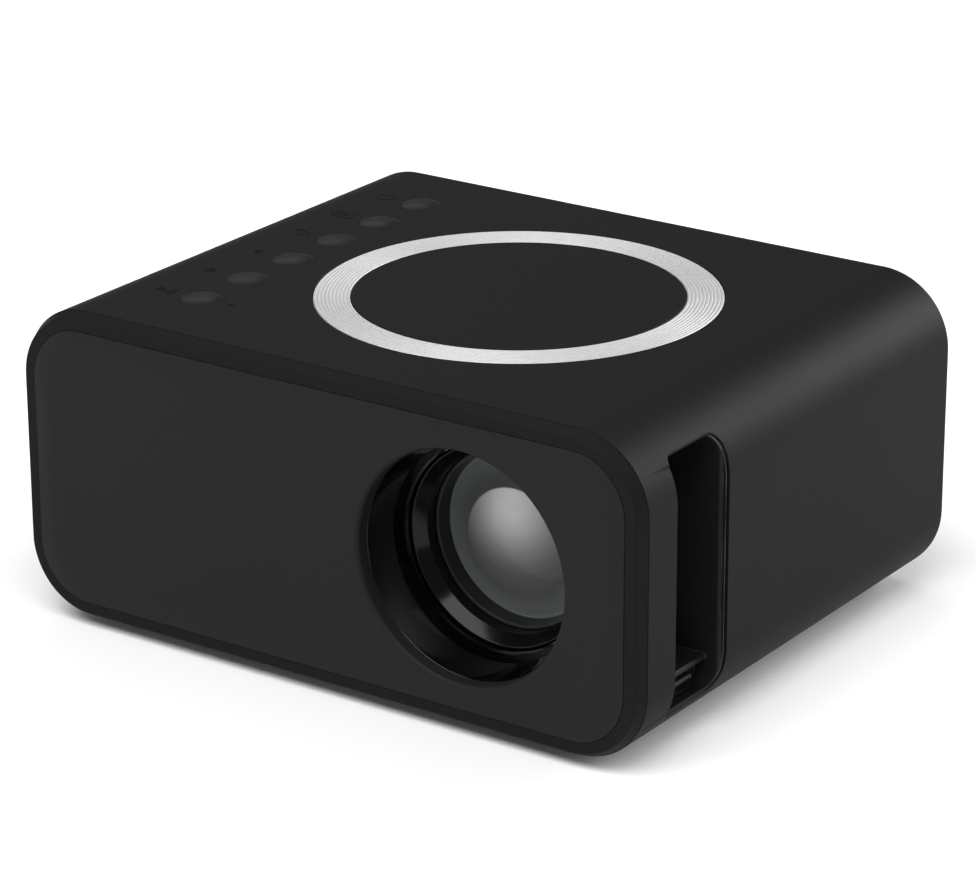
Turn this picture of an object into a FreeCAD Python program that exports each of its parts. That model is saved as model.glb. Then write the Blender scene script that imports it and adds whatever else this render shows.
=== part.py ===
"""Mini LED projector: case, focusing lens, light engine, fan, buttons and boards.

Frame: X across the case, +Y from the front panel to the rear panel, +Z up.
The origin is in the middle of the footprint, on the surface that the feet stand on.
All sizes are in millimetres.
"""
import FreeCAD, Part
import math
import os
import re
import Sketcher
from FreeCAD import Rotation, Vector

SIZES = {
    # Case: a one-piece rounded tube, open at the front and at the back.
    "CaseWidth": (120.0, "outside width of the case"),
    "CaseDepth": (93.0, "length of the tube, front edge to rear edge"),
    "CaseHeight": (53.2, "outside height of the case"),
    "CornerRadius": (12.5, "outside radius of the tube's four corners"),
    "CaseWall": (2.2, "wall of the tube"),
    "RearEdgeRound": (1.2, "rounding of the tube's rear edge"),
    "FrontEdgeRound": (0.4, "rounding of the tube's front edge"),
    "TrimGap": (0.1, "gap round each fixed trim piece"),
    "RunningGap": (0.05, "radial gap of a turning or sliding fit"),
    "SideGap": (0.3, "axial gap beside a turning piece"),
    # Feet and tripod bush.
    "FootHeight": (1.5, "height of the rubber feet"),
    "FootRadius": (5.0, "radius of a foot"),
    "FootInX": (20.0, "middle of a foot, in from the case's left or right side"),
    "FootInY": (13.5, "middle of a foot, in from the tube's front or rear edge"),
    "FootRound": (0.5, "rounding of a foot's lower edge"),
    "TripodHoleRadius": (2.6, "bore of the tripod bush"),
    "TripodBushRadius": (5.0, "outside radius of the tripod bush"),
    "TripodFlangeRadius": (6.6, "radius of the bush's inner flange"),
    "TripodFlange": (1.2, "thickness of the bush's inner flange"),
    "TripodDepth": (6.8, "length of the tripod bush"),
    "TripodHoleDepth": (6.0, "depth of the tripod bush's thread"),
    # Front frame and front panel.
    "BezelProud": (1.4, "how far the front frame stands ahead of the tube"),
    "BezelInset": (0.6, "step from the tube's outline to the frame's outline"),
    "BezelBand": (3.0, "inset of the frame's inner edge"),
    "BezelDepth": (6.0, "length of the frame's skirt inside the tube"),
    "BezelLedge": (1.6, "width of the ledge that carries the front panel"),
    "BezelRound": (0.9, "rounding of the frame's front edge"),
    "PanelProud": (1.95, "how far the front panel stands ahead of the tube"),
    "PanelThick": (2.6, "thickness of the front panel"),
    "PanelSeam": (0.18, "seam between front panel and frame"),
    "PillowWidth": (4.0, "width of the panel's sloping border"),
    "PillowDrop": (0.6, "how far the border drops towards the seam"),
    # Lens recess.
    "LensInX": (32.72, "lens axis, in from the case's right side"),
    "ApertureBorder": (7.5, "between the hole in the front panel and the top of the case"),
    "ApertureRound": (0.8, "rounding of that hole's front edge"),
    "HoodFloor": (7.25, "floor of the recess, behind the tube's front edge"),
    "HoodFloorThick": (1.2, "thickness of the recess floor"),
    "HoodWall": (1.3, "wall of the recess"),
    "HoodGap": (0.4, "gap between the recess floor and the lens barrel"),
    # Lens barrel and glass.
    "BarrelRing": (2.2, "width of the recess floor between its wall and the barrel"),
    "BarrelFront": (9.0, "front rim of the barrel, behind the tube's front edge"),
    "BarrelTravel": (3.0, "travel of the barrel each way"),
    "BarrelRim": (0.3, "flat rim outside the barrel's bevel"),
    "BevelDepth": (1.95, "depth of the barrel's bevelled mouth"),
    "MouthWall": (2.0, "wall of the barrel round the front lens"),
    "MouthDepth": (4.0, "depth of the clamping ring behind the rim"),
    "ClampNarrow": (0.6, "width of the clamping ring's front face"),
    "ClampWide": (1.0, "width of the clamping ring at the glass"),
    "ClampLength": (2.6, "length of the clamping ring"),
    "LensEdge": (2.9, "edge thickness of the front lens"),
    "RearLensRim": (1.6, "flat rim round the rear lens's dome"),
    "LensBulge": (3.0, "height of the front lens's dome"),
    "LensRim": (1.1, "flat rim round the front lens's dome"),
    "TunnelStep": (1.7, "step that the front lens sits on"),
    "RearWall": (4.9, "wall of the barrel round the rear lens"),
    "RearLensThick": (3.4, "edge thickness of the rear lens"),
    "RearLensBulge": (1.2, "height of the rear lens's dome"),
    "RearLensDepth": (6.4, "rear lens seat, ahead of the barrel's rear end"),
    "RearStopStep": (1.0, "step that the rear lens sits on"),
    "RearStopThick": (1.0, "thickness of that stop"),
    "RearRingThick": (1.4, "thickness of the rear lens's clamping ring"),
    # Lens holder and focus wheel.
    "HolderWall": (2.05, "wall of the tube that guides the barrel"),
    "HolderLength": (27.55, "length of the lens holder"),
    "HolderFlange": (2.5, "thickness of the holder's rear flange"),
    "ShoulderStep": (2.0, "step up to the shoulder behind the focus wheel"),
    "ShoulderThick": (2.0, "thickness of that shoulder"),
    "WheelGap": (0.4, "gap between the focus wheel and the case's inside"),
    "WheelWidth": (10.9, "width of the focus wheel"),
    "WheelChamfer": (0.6, "chamfer of the wheel's rims"),
    "KnurlCount": (60, "number of grooves round the focus wheel"),
    "KnurlWidth": (1.2, "width of a groove"),
    "KnurlDepth": (0.9, "depth of a groove"),
    # Focus slot in the right side of the case.
    "SlotFront": (8.6, "front edge of the slot, behind the tube's front edge"),
    "SlotRear": (20.9, "rear wall of the slot"),
    "SlotLip": (1.4, "width of the lip along the rear wall"),
    "SlotBottom": (5.8, "lower end of the slot, above the underside"),
    "SlotDown": (5.2, "upper end of the slot, below the top of the case"),
    "SlotFrontRound": (1.0, "corner radius at the slot's front edge"),
    "SlotRearRound": (3.0, "corner radius at the slot's rear edge"),
    "SlotEdgeRound": (0.5, "rounding where the slot meets the outside"),
    "LinerWall": (1.2, "wall of the slot's liner"),
    "LinerDepth": (9.0, "depth of the liner inside the tube's wall"),
    "LipSink": (0.3, "how far the lip lies below the outside"),
    "ShelfUp": (11.2, "top of the shelf in the slot, above the underside"),
    "ShelfThick": (1.0, "thickness of the shelf"),
    "ShelfInset": (3.2, "front edge of the shelf, inside the side face"),
    "RibDrop": (1.9, "top of the lower rib, below the top of the shelf"),
    "RibThick": (0.7, "thickness of the lower rib"),
    "RibShort": (3.0, "how far the lower rib stops ahead of the rear wall"),
    # Ring and buttons on top.
    "RingInLeft": (32.11, "left edge of the ring, in from the case's left side"),
    "RingInRight": (21.17, "right edge of the ring, in from the case's right side"),
    "RingBand": (6.02, "width of the ring's band"),
    "RingThick": (0.7, "thickness of the ring"),
    "RingSeat": (0.66, "depth of the groove that holds the ring"),
    "RingSeam": (0.1, "gap each side of the ring"),
    "RidgeCount": (9, "number of grooves turned in the ring"),
    "RidgePitch": (0.6, "pitch of those grooves"),
    "RidgeWidth": (0.26, "width of a groove in the ring"),
    "RidgeDepth": (0.12, "depth of a groove in the ring"),
    "ButtonInX": (24.3, "row of buttons, in from the case's left side"),
    "ButtonPitch": (12.2, "distance from button to button"),
    "ButtonRadius": (3.5, "radius of a button cap"),
    "ButtonDome": (0.45, "height of the dome above the case"),
    "ButtonGap": (0.15, "gap between a cap and its hole"),
    "ButtonFlange": (4.4, "radius of the flange that keeps a cap in"),
    "FlangeThick": (0.8, "thickness of that flange"),
    "FlangeGap": (0.15, "gap above the flange at rest"),
    "ButtonTravel": (0.6, "travel of a button"),
    "PressGap": (0.1, "gap left over the switch when a button is down"),
    "SwitchSize": (6.0, "side of a switch"),
    "SwitchBody": (2.2, "height of a switch's body"),
    "PlungerRadius": (1.7, "radius of a switch's plunger"),
    "PlungerHeight": (0.6, "height of a switch's plunger"),
    "BoardRound": (2.0, "corner radius of a circuit board"),
    "KeyBoardWidth": (20.0, "width of the button board"),
    "KeyBoardInY": (7.5, "ends of the button board, in from the tube's front and rear edges"),
    "BoardThick": (1.2, "thickness of a circuit board"),
    "KeyPostRadius": (2.4, "radius of the posts that carry the button board"),
    "KeyPostInset": (2.8, "middle of a post, in from the board's edges"),
    # Chassis and main board.
    "TrayThick": (1.6, "thickness of the chassis tray"),
    "TrayInX": (14.0, "sides of the chassis tray, in from the case's sides"),
    "TrayFront": (9.6, "front edge of the tray, behind the tube's front edge"),
    "TrayRearGap": (0.3, "gap between the tray and the rear panel"),
    "TrayRound": (2.0, "corner radius of the tray"),
    "NotchHalf": (12.0, "half the width of the notch under the focus wheel"),
    "BaseScrewInX": (19.0, "base screws, in from the case's left and right sides"),
    "BaseScrewInY": (24.5, "base screws, in from the tube's front and rear edges"),
    "BasePostHeight": (2.4, "height of the posts that take the base screws"),
    "BaseScrewLength": (4.2, "length of a base screw's shank"),
    "StandoffHeight": (4.0, "height of the posts that carry the main board"),
    "StandoffRadius": (2.6, "radius of those posts"),
    "MainBoardInX": (8.0, "left edge of the main board, in from the case's left side"),
    "MainBoardLength": (46.0, "length of the main board"),
    "BoardEngineGap": (1.0, "gap between the main board and the light engine"),
    "BoardBackGap": (0.4, "gap between the main board and the rear panel"),
    "BoardHoleInset": (8.0, "screw holes, in from the board's left and right edges"),
    "BoardHoleRear": (14.0, "rear screw holes, in from the board's rear edge"),
    "BoardHoleApart": (18.0, "distance between the rear and front screw holes"),
    "BoardScrewLength": (3.4, "length of a board screw's shank below the board"),
    "ScrewRadius": (1.1, "radius of a small screw's shank"),
    "ScrewHeadRadius": (2.1, "radius of a small screw's head"),
    "ScrewHead": (1.3, "height of a small screw's head"),
    "ScrewGap": (0.05, "radial gap round a screw"),
    "CrossLength": (2.5, "length of each arm of the cross slot in a screw's head"),
    "CrossWidth": (0.6, "width of that slot"),
    "CrossDepth": (0.6, "depth of that slot"),
    "RailWidth": (4.5, "width of the rails under the light engine"),
    "RailApart": (32.0, "distance between the two rails"),
    # Sockets on the main board.
    "HdmiWidth": (15.0, "width of the HDMI shell"),
    "HdmiHeight": (5.6, "height of the HDMI shell"),
    "UsbWidth": (13.1, "width of the USB shell"),
    "UsbHeight": (5.8, "height of the USB shell"),
    "SocketDepth": (12.0, "length of a socket"),
    "SocketRound": (0.8, "corner radius of a socket's shell"),
    "ShellWall": (0.35, "sheet thickness of a socket's shell"),
    "ShellBack": (1.5, "thickness of a socket's rear wall"),
    "TongueThick": (1.2, "thickness of a socket's tongue"),
    "TongueDepth": (8.0, "length of a socket's tongue"),
    "TongueSide": (1.6, "gap each side of a tongue"),
    "SocketProud": (0.6, "how far a socket reaches into the rear panel"),
    "AudioBore": (1.8, "bore radius of the audio socket"),
    "AudioSize": (6.0, "side of the audio socket's block"),
    "SocketInLeft": (0.8, "first socket, in from the main board's left edge"),
    "SocketInRight": (0.8, "last socket, in from the main board's right edge"),
    "AudioDepth": (10.0, "depth of the audio socket's bore"),
    "PowerWidth": (7.6, "width of the power socket's shell"),
    "PowerHeight": (3.0, "height of the power socket's shell"),
    "PortGap": (0.35, "gap round a socket in the rear panel"),
    "ChipInY": (22.5, "middle of the main chip, in from the main board's rear edge"),
    "ChipSide": (14.0, "side of the main chip"),
    "ChipThick": (1.2, "thickness of the main chip"),
    "CoolerSide": (20.0, "side of the chip's cooler"),
    "CoolerHeight": (8.0, "height of the chip's cooler"),
    "CoolerBase": (2.0, "thickness of the cooler's base"),
    "CoolerFins": (5, "number of gaps between the cooler's fins"),
    "CoolerPitch": (3.6, "pitch of the cooler's fins"),
    "CoolerGap": (2.2, "gap between two of the cooler's fins"),
    "CapRadius": (3.2, "radius of a capacitor"),
    "CapHeight": (8.0, "height of a capacitor"),
    "CapPitch": (8.5, "distance from capacitor to capacitor"),
    "CapInY": (41.0, "row of capacitors, in from the main board's rear edge"),
    "RibbonWidth": (10.0, "width of the ribbon between the boards"),
    "RibbonThick": (0.3, "thickness of the ribbon"),
    "RibbonTail": (6.0, "length of the ribbon on each board"),
    "RibbonOut": (3.7, "upright stretch of the ribbon, beside the button board"),
    "RibbonInY": (45.0, "front edge of the ribbon, in from the main board's rear edge"),
    # Rear panel.
    "RearSink": (0.6, "how far the rear panel lies inside the rear edge"),
    "RearThick": (2.5, "thickness of the rear panel"),
    "RearScrewInX": (4.9, "rear screws, in from the case's left and right sides"),
    "RearScrewInZ": (12.8, "rear screws, in from the case's top and underside"),
    "RearPostRadius": (3.0, "radius of the posts that take the rear screws"),
    "RearPostLength": (9.0, "length of those posts"),
    "RearSeam": (0.12, "seam between the rear panel and the tube"),
    "RearScrewLength": (8.0, "length of a rear screw's shank"),
    "GrilleBars": (9, "number of slots in the rear grille"),
    "GrillePitch": (3.8, "pitch of those slots"),
    "GrilleSlot": (2.0, "width of a slot in the rear grille"),
    "GrilleRadius": (17.8, "radius of the rear grille"),
    # Light engine.
    "EngineWidth": (44.0, "width of the light engine's housing"),
    "EngineUp": (6.6, "underside of the light engine, above the underside of the case"),
    "EngineWall": (2.0, "wall of that housing"),
    "EngineLength": (30.0, "length of that housing"),
    "EngineRound": (1.5, "corner radius of that housing"),
    "EngineMouthGap": (0.4, "gap between the barrel and the housing's mouth"),
    "HolderScrewIn": (3.0, "holder screws, in from the housing's sides"),
    "FrontFresnelBack": (4.5, "front fresnel lens, behind the housing's front"),
    "FresnelThick": (1.5, "thickness of a fresnel lens"),
    "PanelBack": (9.0, "LCD panel, behind the housing's front"),
    "PanelGlass": (2.6, "thickness of the LCD panel"),
    "RearFresnelBack": (14.0, "rear fresnel lens, behind the housing's front"),
    "CondenserBack": (21.0, "condenser holder, behind the housing's front"),
    "CondenserHolder": (3.0, "thickness of the condenser holder"),
    "CondenserRadius": (15.0, "radius of the condenser lens"),
    "CondenserEdge": (2.4, "edge thickness of the condenser lens"),
    "CondenserBulge": (4.5, "height of the condenser lens's dome"),
    "LedBoard": (1.6, "thickness of the LED's board"),
    "LedRadius": (5.0, "radius of the LED"),
    "LedHeight": (1.4, "height of the LED"),
    "SinkBase": (2.0, "thickness of the heat sink's base"),
    "FinCount": (10, "number of gaps between the heat sink's fins"),
    "FinPitch": (4.0, "pitch of the fins"),
    "FinGap": (2.6, "gap between two fins"),
    # Fan.
    "FanSize": (40.0, "side of the fan's frame"),
    "FanDepth": (10.0, "depth of the fan's frame"),
    "FanRound": (3.0, "corner radius of the fan's frame"),
    "FanHoles": (32.0, "distance between the fan's screw holes"),
    "FanScrewLength": (9.0, "length of a fan screw's shank"),
    "FanFrontGap": (0.6, "how far the rotor lies inside the frame's front"),
    "FanBaseGap": (0.4, "gap between the rotor and the motor's base plate"),
    "FanBore": (18.6, "bore of the fan's frame"),
    "FanTipGap": (0.5, "gap between the blades and the frame"),
    "FanBase": (1.4, "thickness of the motor's base plate and its arms"),
    "FanHub": (9.5, "radius of the rotor's hub"),
    "FanHubWall": (1.2, "wall of the rotor's hub"),
    "FanShaft": (1.0, "radius of the rotor's shaft"),
    "FanBearing": (2.6, "outside radius of the bearing tube"),
    "FanArm": (3.0, "width of the arms that hold the motor"),
    "BladeCount": (7, "number of blades"),
    "BladeThick": (1.0, "thickness of a blade"),
    "BladeSkew": (2.6, "how far a blade's two edges are apart, round the hub"),
    # Speaker.
    "SpeakerRadius": (14.0, "radius of the speaker"),
    "SpeakerDepth": (5.0, "depth of the speaker"),
    "SpeakerBack": (34.0, "middle of the speaker, behind the tube's front edge"),
    "SpeakerRim": (2.8, "width of the speaker's rim"),
    "ConeDepth": (1.6, "depth of the cone inside the rim"),
    "SpeakerMagnet": (8.0, "radius of the speaker's magnet"),
    "MagnetDepth": (2.0, "depth of the speaker's magnet"),
    "SideSlots": (7, "number of sound slots in the left side"),
    "SideSlotPitch": (3.6, "pitch of the sound slots"),
    "SideSlotWidth": (1.5, "width of a sound slot"),
    "SideSlotHeight": (18.0, "height of a sound slot"),
    "BaseSlots": (6, "number of air slots in the underside"),
    "BaseSlotPitch": (5.0, "pitch of the air slots"),
    "BaseSlotWidth": (2.2, "width of an air slot"),
    "BaseSlotLength": (24.0, "length of an air slot"),
}

doc = FreeCAD.newDocument("mini_projector")
sheet = doc.addObject("Spreadsheet::Sheet", "Sizes")
for row, (alias, (value, meaning)) in enumerate(SIZES.items(), start=1):
    sheet.set(f"A{row}", meaning)
    sheet.set(f"B{row}", str(value))
    sheet.setAlias(f"B{row}", alias)
doc.recompute()

nodes = []

# ---------------------------------------------------------------- helpers


def formula(text):
    """The expression with each name of the sheet written out in full."""
    return re.sub(r"[A-Z][A-Za-z]+", lambda name: "Sizes." + name.group(0), str(text))


def number(text):
    """What an expression comes to now."""
    return float(sheet.evalExpression(formula(text)))


def bind(thing, prop, text):
    """Tie a property to the sheet."""
    thing.setExpression(prop, formula(text))


def behind(text):
    """Y of a place that is a distance behind the tube's front edge."""
    return f"((PanelProud - CaseDepth) / 2 + {text})"


def above(text):
    """Z of a place that is a height above the underside of the case."""
    return f"(FootHeight + {text})"


def place(thing, x="0", y="0", z="0"):
    """Tie an object's position to the sheet."""
    for axis, text in zip("xyz", (x, y, z)):
        bind(thing, f"Placement.Base.{axis}", text)


def keep(thing, label):
    """Name a finished sub-part."""
    thing.Label = label
    nodes.append(thing)
    return thing


def new_body(name, x="0", y="0", z="0"):
    """An empty body at a place."""
    body = doc.addObject("PartDesign::Body", name)
    place(body, x, y, z)
    return body


# A sketch's second axis is Z on the XZ and YZ planes, and Y on the XY plane.
# The XZ plane faces -Y, so an offset towards +Y is negative there.
PAD_TURNS = {"XY": False, "XZ": True, "YZ": False}


def new_sketch(body, plane, at="0"):
    """An empty sketch on one of the body's planes, moved along that plane's axis."""
    sketch = body.newObject("Sketcher::SketchObject", "Outline")
    role = plane + "_Plane"
    support = next(f for f in body.Origin.OriginFeatures if f.Role == role)
    sketch.AttachmentSupport = [(support, "")]
    sketch.MapMode = "FlatFace"
    offset = f"-({at})" if plane == "XZ" else at
    bind(sketch, "AttachmentOffset.Base.z", offset)
    return sketch


def constrain(sketch, rules):
    """Add constraints in one go; one that ends in text is driven by that expression."""
    start = sketch.ConstraintCount
    made = []
    for rule in rules:
        driven = isinstance(rule[-1], str)
        made.append(Sketcher.Constraint(*rule[:-1], number(rule[-1]) if driven else rule[-1]))
    sketch.addConstraint(made)
    for index, rule in enumerate(rules, start):
        if isinstance(rule[-1], str):
            sketch.setExpression(f"Constraints[{index}]", formula(rule[-1]))


def pinned(geometry, end, x, y):
    """The two constraints that fix one end of an edge at (x, y)."""
    return [("DistanceX", -1, 1, geometry, end, x), ("DistanceY", -1, 1, geometry, end, y)]


def circle(x, y, radius):
    """A circle in a sketch."""
    def draw(sketch):
        centre = Vector(number(x), number(y), 0)
        edge = sketch.addGeometry(Part.Circle(centre, Vector(0, 0, 1), number(radius)))
        constrain(sketch, [("Radius", edge, radius), *pinned(edge, 3, x, y)])
    return draw


def arc_to(x, y, radius, side):
    """A corner that an arc leads to, bulging to the left of the way (side 1) or the right (-1)."""
    return (x, y, radius, side)


def polygon(*points):
    """A closed outline of straight edges and arcs, each corner pinned."""
    def draw(sketch):
        spots = [Vector(number(p[0]), number(p[1]), 0) for p in points]
        joints = []
        for index, point in enumerate(points):
            start, end = spots[index - 1], spots[index]
            shape = Part.LineSegment(start, end)
            if len(point) == 4:
                chord = end - start
                half = chord.Length / 2
                radius = number(point[2])
                across = Vector(-chord.y, chord.x, 0).normalize() * point[3]
                rise = radius - math.sqrt(radius * radius - half * half)
                shape = Part.Arc(start, (start + end) * 0.5 + across * rise, end)
            edge = sketch.addGeometry(shape)
            forward = (sketch.Geometry[edge].StartPoint - start).Length < 1e-6
            joints.append((edge, 1, 2) if forward else (edge, 2, 1))
        rules = []
        for index, (edge, first, last) in enumerate(joints):
            before, _, before_last = joints[index - 1]
            rules.append(("Coincident", before, before_last, edge, first))
            rules += pinned(edge, last, points[index][0], points[index][1])
            if len(points[index]) == 4:
                rules.append(("Radius", edge, points[index][2]))
        constrain(sketch, rules)
    return draw


def rounded(left, right, bottom, top, radius, far_radius=None):
    """A rectangle with rounded corners; far_radius is for the two right corners."""
    far = far_radius or radius

    def draw(sketch):
        low_x, high_x = number(left), number(right)
        low_y, high_y = number(bottom), number(top)
        near_r, far_r = number(radius), number(far)
        up = Vector(0, 0, 1)
        corners = (
            (low_x + near_r, low_y + near_r, near_r, 2),
            (high_x - far_r, low_y + far_r, far_r, 3),
            (high_x - far_r, high_y - far_r, far_r, 0),
            (low_x + near_r, high_y - near_r, near_r, 1),
        )
        arcs = []
        for x, y, r, quarter in corners:
            ring = Part.Circle(Vector(x, y, 0), up, r)
            start = quarter * math.pi / 2
            arcs.append(sketch.addGeometry(Part.ArcOfCircle(ring, start, start + math.pi / 2)))
        lines = []
        for index, arc in enumerate(arcs):
            start = sketch.Geometry[arc].EndPoint
            end = sketch.Geometry[arcs[(index + 1) % 4]].StartPoint
            lines.append(sketch.addGeometry(Part.LineSegment(start, end)))
        rules = []
        for index, line in enumerate(lines):
            rules.append(("Tangent", arcs[index], 2, line, 1))
            rules.append(("Tangent", line, 2, arcs[(index + 1) % 4], 1))
            rules.append(("Vertical" if index % 2 else "Horizontal", line))
        rules += [
            ("Radius", arcs[0], str(radius)),
            ("Radius", arcs[1], str(far)),
            ("Equal", arcs[0], arcs[3]),
            ("Equal", arcs[1], arcs[2]),
            ("DistanceY", -1, 1, lines[0], 1, bottom),
            ("DistanceX", -1, 1, lines[1], 1, right),
            ("DistanceY", -1, 1, lines[2], 1, top),
            ("DistanceX", -1, 1, lines[3], 1, left),
        ]
        constrain(sketch, rules)
    return draw


def round_slot(left, right, bottom, top, upright=False):
    """A slot with half-round ends; an upright one has its ends at the bottom and the top."""
    low, high, near, far = (left, right, bottom, top) if upright else (bottom, top, left, right)
    radius = f"(({high}) - ({low})) / 2"
    middle = f"(({high}) + ({low})) / 2"
    ends = (f"{near} + {radius}", f"{far} - {radius}")

    def draw(sketch):
        turn = math.pi / 2 if upright else 0
        arcs = []
        for side, end in zip((1, -1), ends):
            spot = (number(middle), number(end)) if upright else (number(end), number(middle))
            start = turn + side * math.pi / 2
            ring = Part.Circle(Vector(*spot, 0), Vector(0, 0, 1), number(radius))
            arcs.append(sketch.addGeometry(Part.ArcOfCircle(ring, start, start + math.pi)))
        rules = [("Radius", arcs[0], radius), ("Equal", *arcs)]
        for first, second in (arcs, arcs[::-1]):
            from_spot = sketch.Geometry[first].EndPoint
            to_spot = sketch.Geometry[second].StartPoint
            line = sketch.addGeometry(Part.LineSegment(from_spot, to_spot))
            rules.append(("Tangent", first, 2, line, 1))
            rules.append(("Tangent", line, 2, second, 1))
        along, across = ("DistanceY", "DistanceX") if upright else ("DistanceX", "DistanceY")
        rules += [
            (across, -1, 1, arcs[0], 3, middle),
            (along, -1, 1, arcs[0], 3, ends[0]),
            (along, -1, 1, arcs[1], 3, ends[1]),
            ("Vertical" if upright else "Horizontal", line),
        ]
        constrain(sketch, rules)
    return draw


def rectangle(left, right, bottom, top):
    """A plain rectangle."""
    return polygon((left, bottom), (right, bottom), (right, top), (left, top))


def extrude(body, kind, plane, at, outlines, length):
    """Pad or pocket a sketch from a plane towards the plane's positive axis."""
    sketch = new_sketch(body, plane, at)
    for outline in outlines:
        outline(sketch)
    feature = body.newObject("PartDesign::" + kind, kind)
    feature.Profile = sketch
    bind(feature, "Length", length)
    pad_turn = PAD_TURNS[plane]
    feature.Reversed = pad_turn if kind == "Pad" else not pad_turn
    return feature


def add(body, plane, at, outlines, length):
    """Pad outlines onto a body."""
    return extrude(body, "Pad", plane, at, outlines, length)


def remove(body, plane, at, outlines, length):
    """Cut outlines out of a body."""
    return extrude(body, "Pocket", plane, at, outlines, length)


def turned(name, plane, points, x="0", y="0", z="0", facing_front=False):
    """A body of revolution about its own Y axis (plane XY) or Z axis (plane XZ).

    One that faces the front is turned half round, so its profile grows towards -Y.
    """
    body = new_body(name, x, y, z)
    if facing_front:
        body.Placement.Rotation = Rotation(Vector(1, 0, 0), 180)
    sketch = new_sketch(body, plane)
    polygon(*points)(sketch)
    feature = body.newObject("PartDesign::Revolution", "Revolution")
    feature.Profile = sketch
    feature.ReferenceAxis = (sketch, ["V_Axis"])
    feature.Angle = 360
    return body


def round_edges(body, feature, picks, radius, kind="Fillet"):
    """Round the edges of a feature that a test picks out."""
    doc.recompute()
    names = [f"Edge{i}" for i, edge in enumerate(feature.Shape.Edges, 1) if picks(edge)]
    rounding = body.newObject("PartDesign::" + kind, kind)
    rounding.Base = (feature, names)
    bind(rounding, "Radius" if kind == "Fillet" else "Size", radius)
    return rounding


def group(name, members):
    """Several separate solids that share one node."""
    fused = doc.addObject("Part::MultiFuse", name)
    fused.Shapes = members
    return keep(fused, name)


def common(name, base, tool):
    """What two shapes share."""
    part = doc.addObject("Part::Common", name)
    part.Base = base
    part.Tool = tool
    return part


def cut(name, base, tool):
    """A shape less another."""
    part = doc.addObject("Part::Cut", name)
    part.Base = base
    part.Tool = tool
    return part


def dome_radius(reach, rise):
    """The radius of a dome that rises over a circle of a given reach."""
    return f"(({reach} ^ 2 + {rise} ^ 2) / (2 * {rise}))"


def flat_at(axis, text):
    """A test for edges that lie at one height along an axis."""
    level = number(text)

    def test(edge):
        box = edge.BoundBox
        low = getattr(box, axis + "Min")
        high = getattr(box, axis + "Max")
        return abs(low - level) < 1e-4 and abs(high - level) < 1e-4
    return test


# ---------------------------------------------------------------- shared places

MID_Z = above("CaseHeight / 2")
LENS_Z = MID_Z
TOP_Z = above("CaseHeight")
UNDERSIDE_Z = above("0")
FLOOR_Z = above("CaseWall")
TRAY_TOP = above("CaseWall + TrayThick")
CEILING_Z = above("CaseHeight - CaseWall")
MAIN_BOARD_Z = f"({TRAY_TOP} + StandoffHeight)"
MAIN_BOARD_TOP = f"({MAIN_BOARD_Z} + BoardThick)"
SWITCH_TOP = f"({CEILING_Z} - FlangeGap - FlangeThick - ButtonTravel - PressGap)"
KEY_BOARD_TOP = f"({SWITCH_TOP} - PlungerHeight - SwitchBody)"

# Places across the case.
LENS_X = "(CaseWidth / 2 - LensInX)"
BUTTON_X = "(ButtonInX - CaseWidth / 2)"
RING_X = "((RingInLeft - RingInRight) / 2)"
BOARD_LEFT = "(MainBoardInX - CaseWidth / 2)"
BOARD_RIGHT = f"({LENS_X} - EngineWidth / 2 - BoardEngineGap)"
CHIP_X = f"(({BOARD_LEFT} + {BOARD_RIGHT}) / 2)"
RIBBON_X = f"({BUTTON_X} + KeyBoardWidth / 2 + RibbonOut)"

# Distances behind the tube's front edge.
MID_BACK = "(CaseDepth / 2)"
PANEL_BACK = "(PanelThick - PanelProud)"
HOLDER_FRONT = "(HoodFloor + HoodFloorThick)"
ENGINE_FRONT = f"({HOLDER_FRONT} + HolderLength)"
ENGINE_BACK = f"({ENGINE_FRONT} + EngineLength)"
REAR_INNER = "(CaseDepth - RearSink - RearThick)"
REAR_OUTER = "(CaseDepth - RearSink)"
FAN_FRONT = f"({REAR_INNER} - FanDepth)"
SOCKET_MOUTH = f"({REAR_INNER} + SocketProud)"
BOARD_REAR = f"({REAR_INNER} - BoardBackGap)"
SEAT_BACK = "(BarrelFront + MouthDepth + ClampLength)"
CHIP_BACK = f"({BOARD_REAR} - ChipInY)"
CAP_BACK = f"({BOARD_REAR} - CapInY)"
RIBBON_BACK = f"({BOARD_REAR} - RibbonInY)"

# Lengths.
ENGINE_HEIGHT = "(CaseHeight - 2 * EngineUp)"
HOLDER_SCREW_X = "(EngineWidth / 2 - HolderScrewIn)"
HOLDER_SCREW_Z = f"({ENGINE_HEIGHT} / 2 - HolderScrewIn)"
TRAY_LENGTH = f"({REAR_INNER} - TrayRearGap - TrayFront)"
KEY_BOARD_LENGTH = "(CaseDepth - 2 * KeyBoardInY)"
BARREL_LENGTH = f"({ENGINE_FRONT} - BarrelFront - BarrelTravel)"

# Radii of the ring.
RING_OUTER = "((CaseWidth - RingInLeft - RingInRight) / 2)"
RING_INNER = f"({RING_OUTER} - RingBand)"

# Radii about the lens axis.
APERTURE = "(CaseHeight / 2 - ApertureBorder)"
BARREL = f"({APERTURE} - BarrelRing)"
MOUTH = f"({BARREL} - MouthWall)"
CLAMP_FRONT = f"({MOUTH} - ClampNarrow)"
CLAMP_BACK = f"({MOUTH} - ClampWide)"
FRONT_DOME = f"({MOUTH} - LensRim)"
TUNNEL = f"({MOUTH} - TunnelStep)"
REAR_LENS = f"({BARREL} - RearWall)"
REAR_DOME = f"({REAR_LENS} - RearLensRim)"
REAR_STOP = f"({REAR_LENS} - RearStopStep)"
WHEEL = "(CaseHeight / 2 - CaseWall - WheelGap)"
GUIDE_BORE = f"({BARREL} + RunningGap)"
GUIDE_RADIUS = f"({GUIDE_BORE} + HolderWall)"
SHOULDER = f"({GUIDE_RADIUS} + ShoulderStep)"

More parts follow.
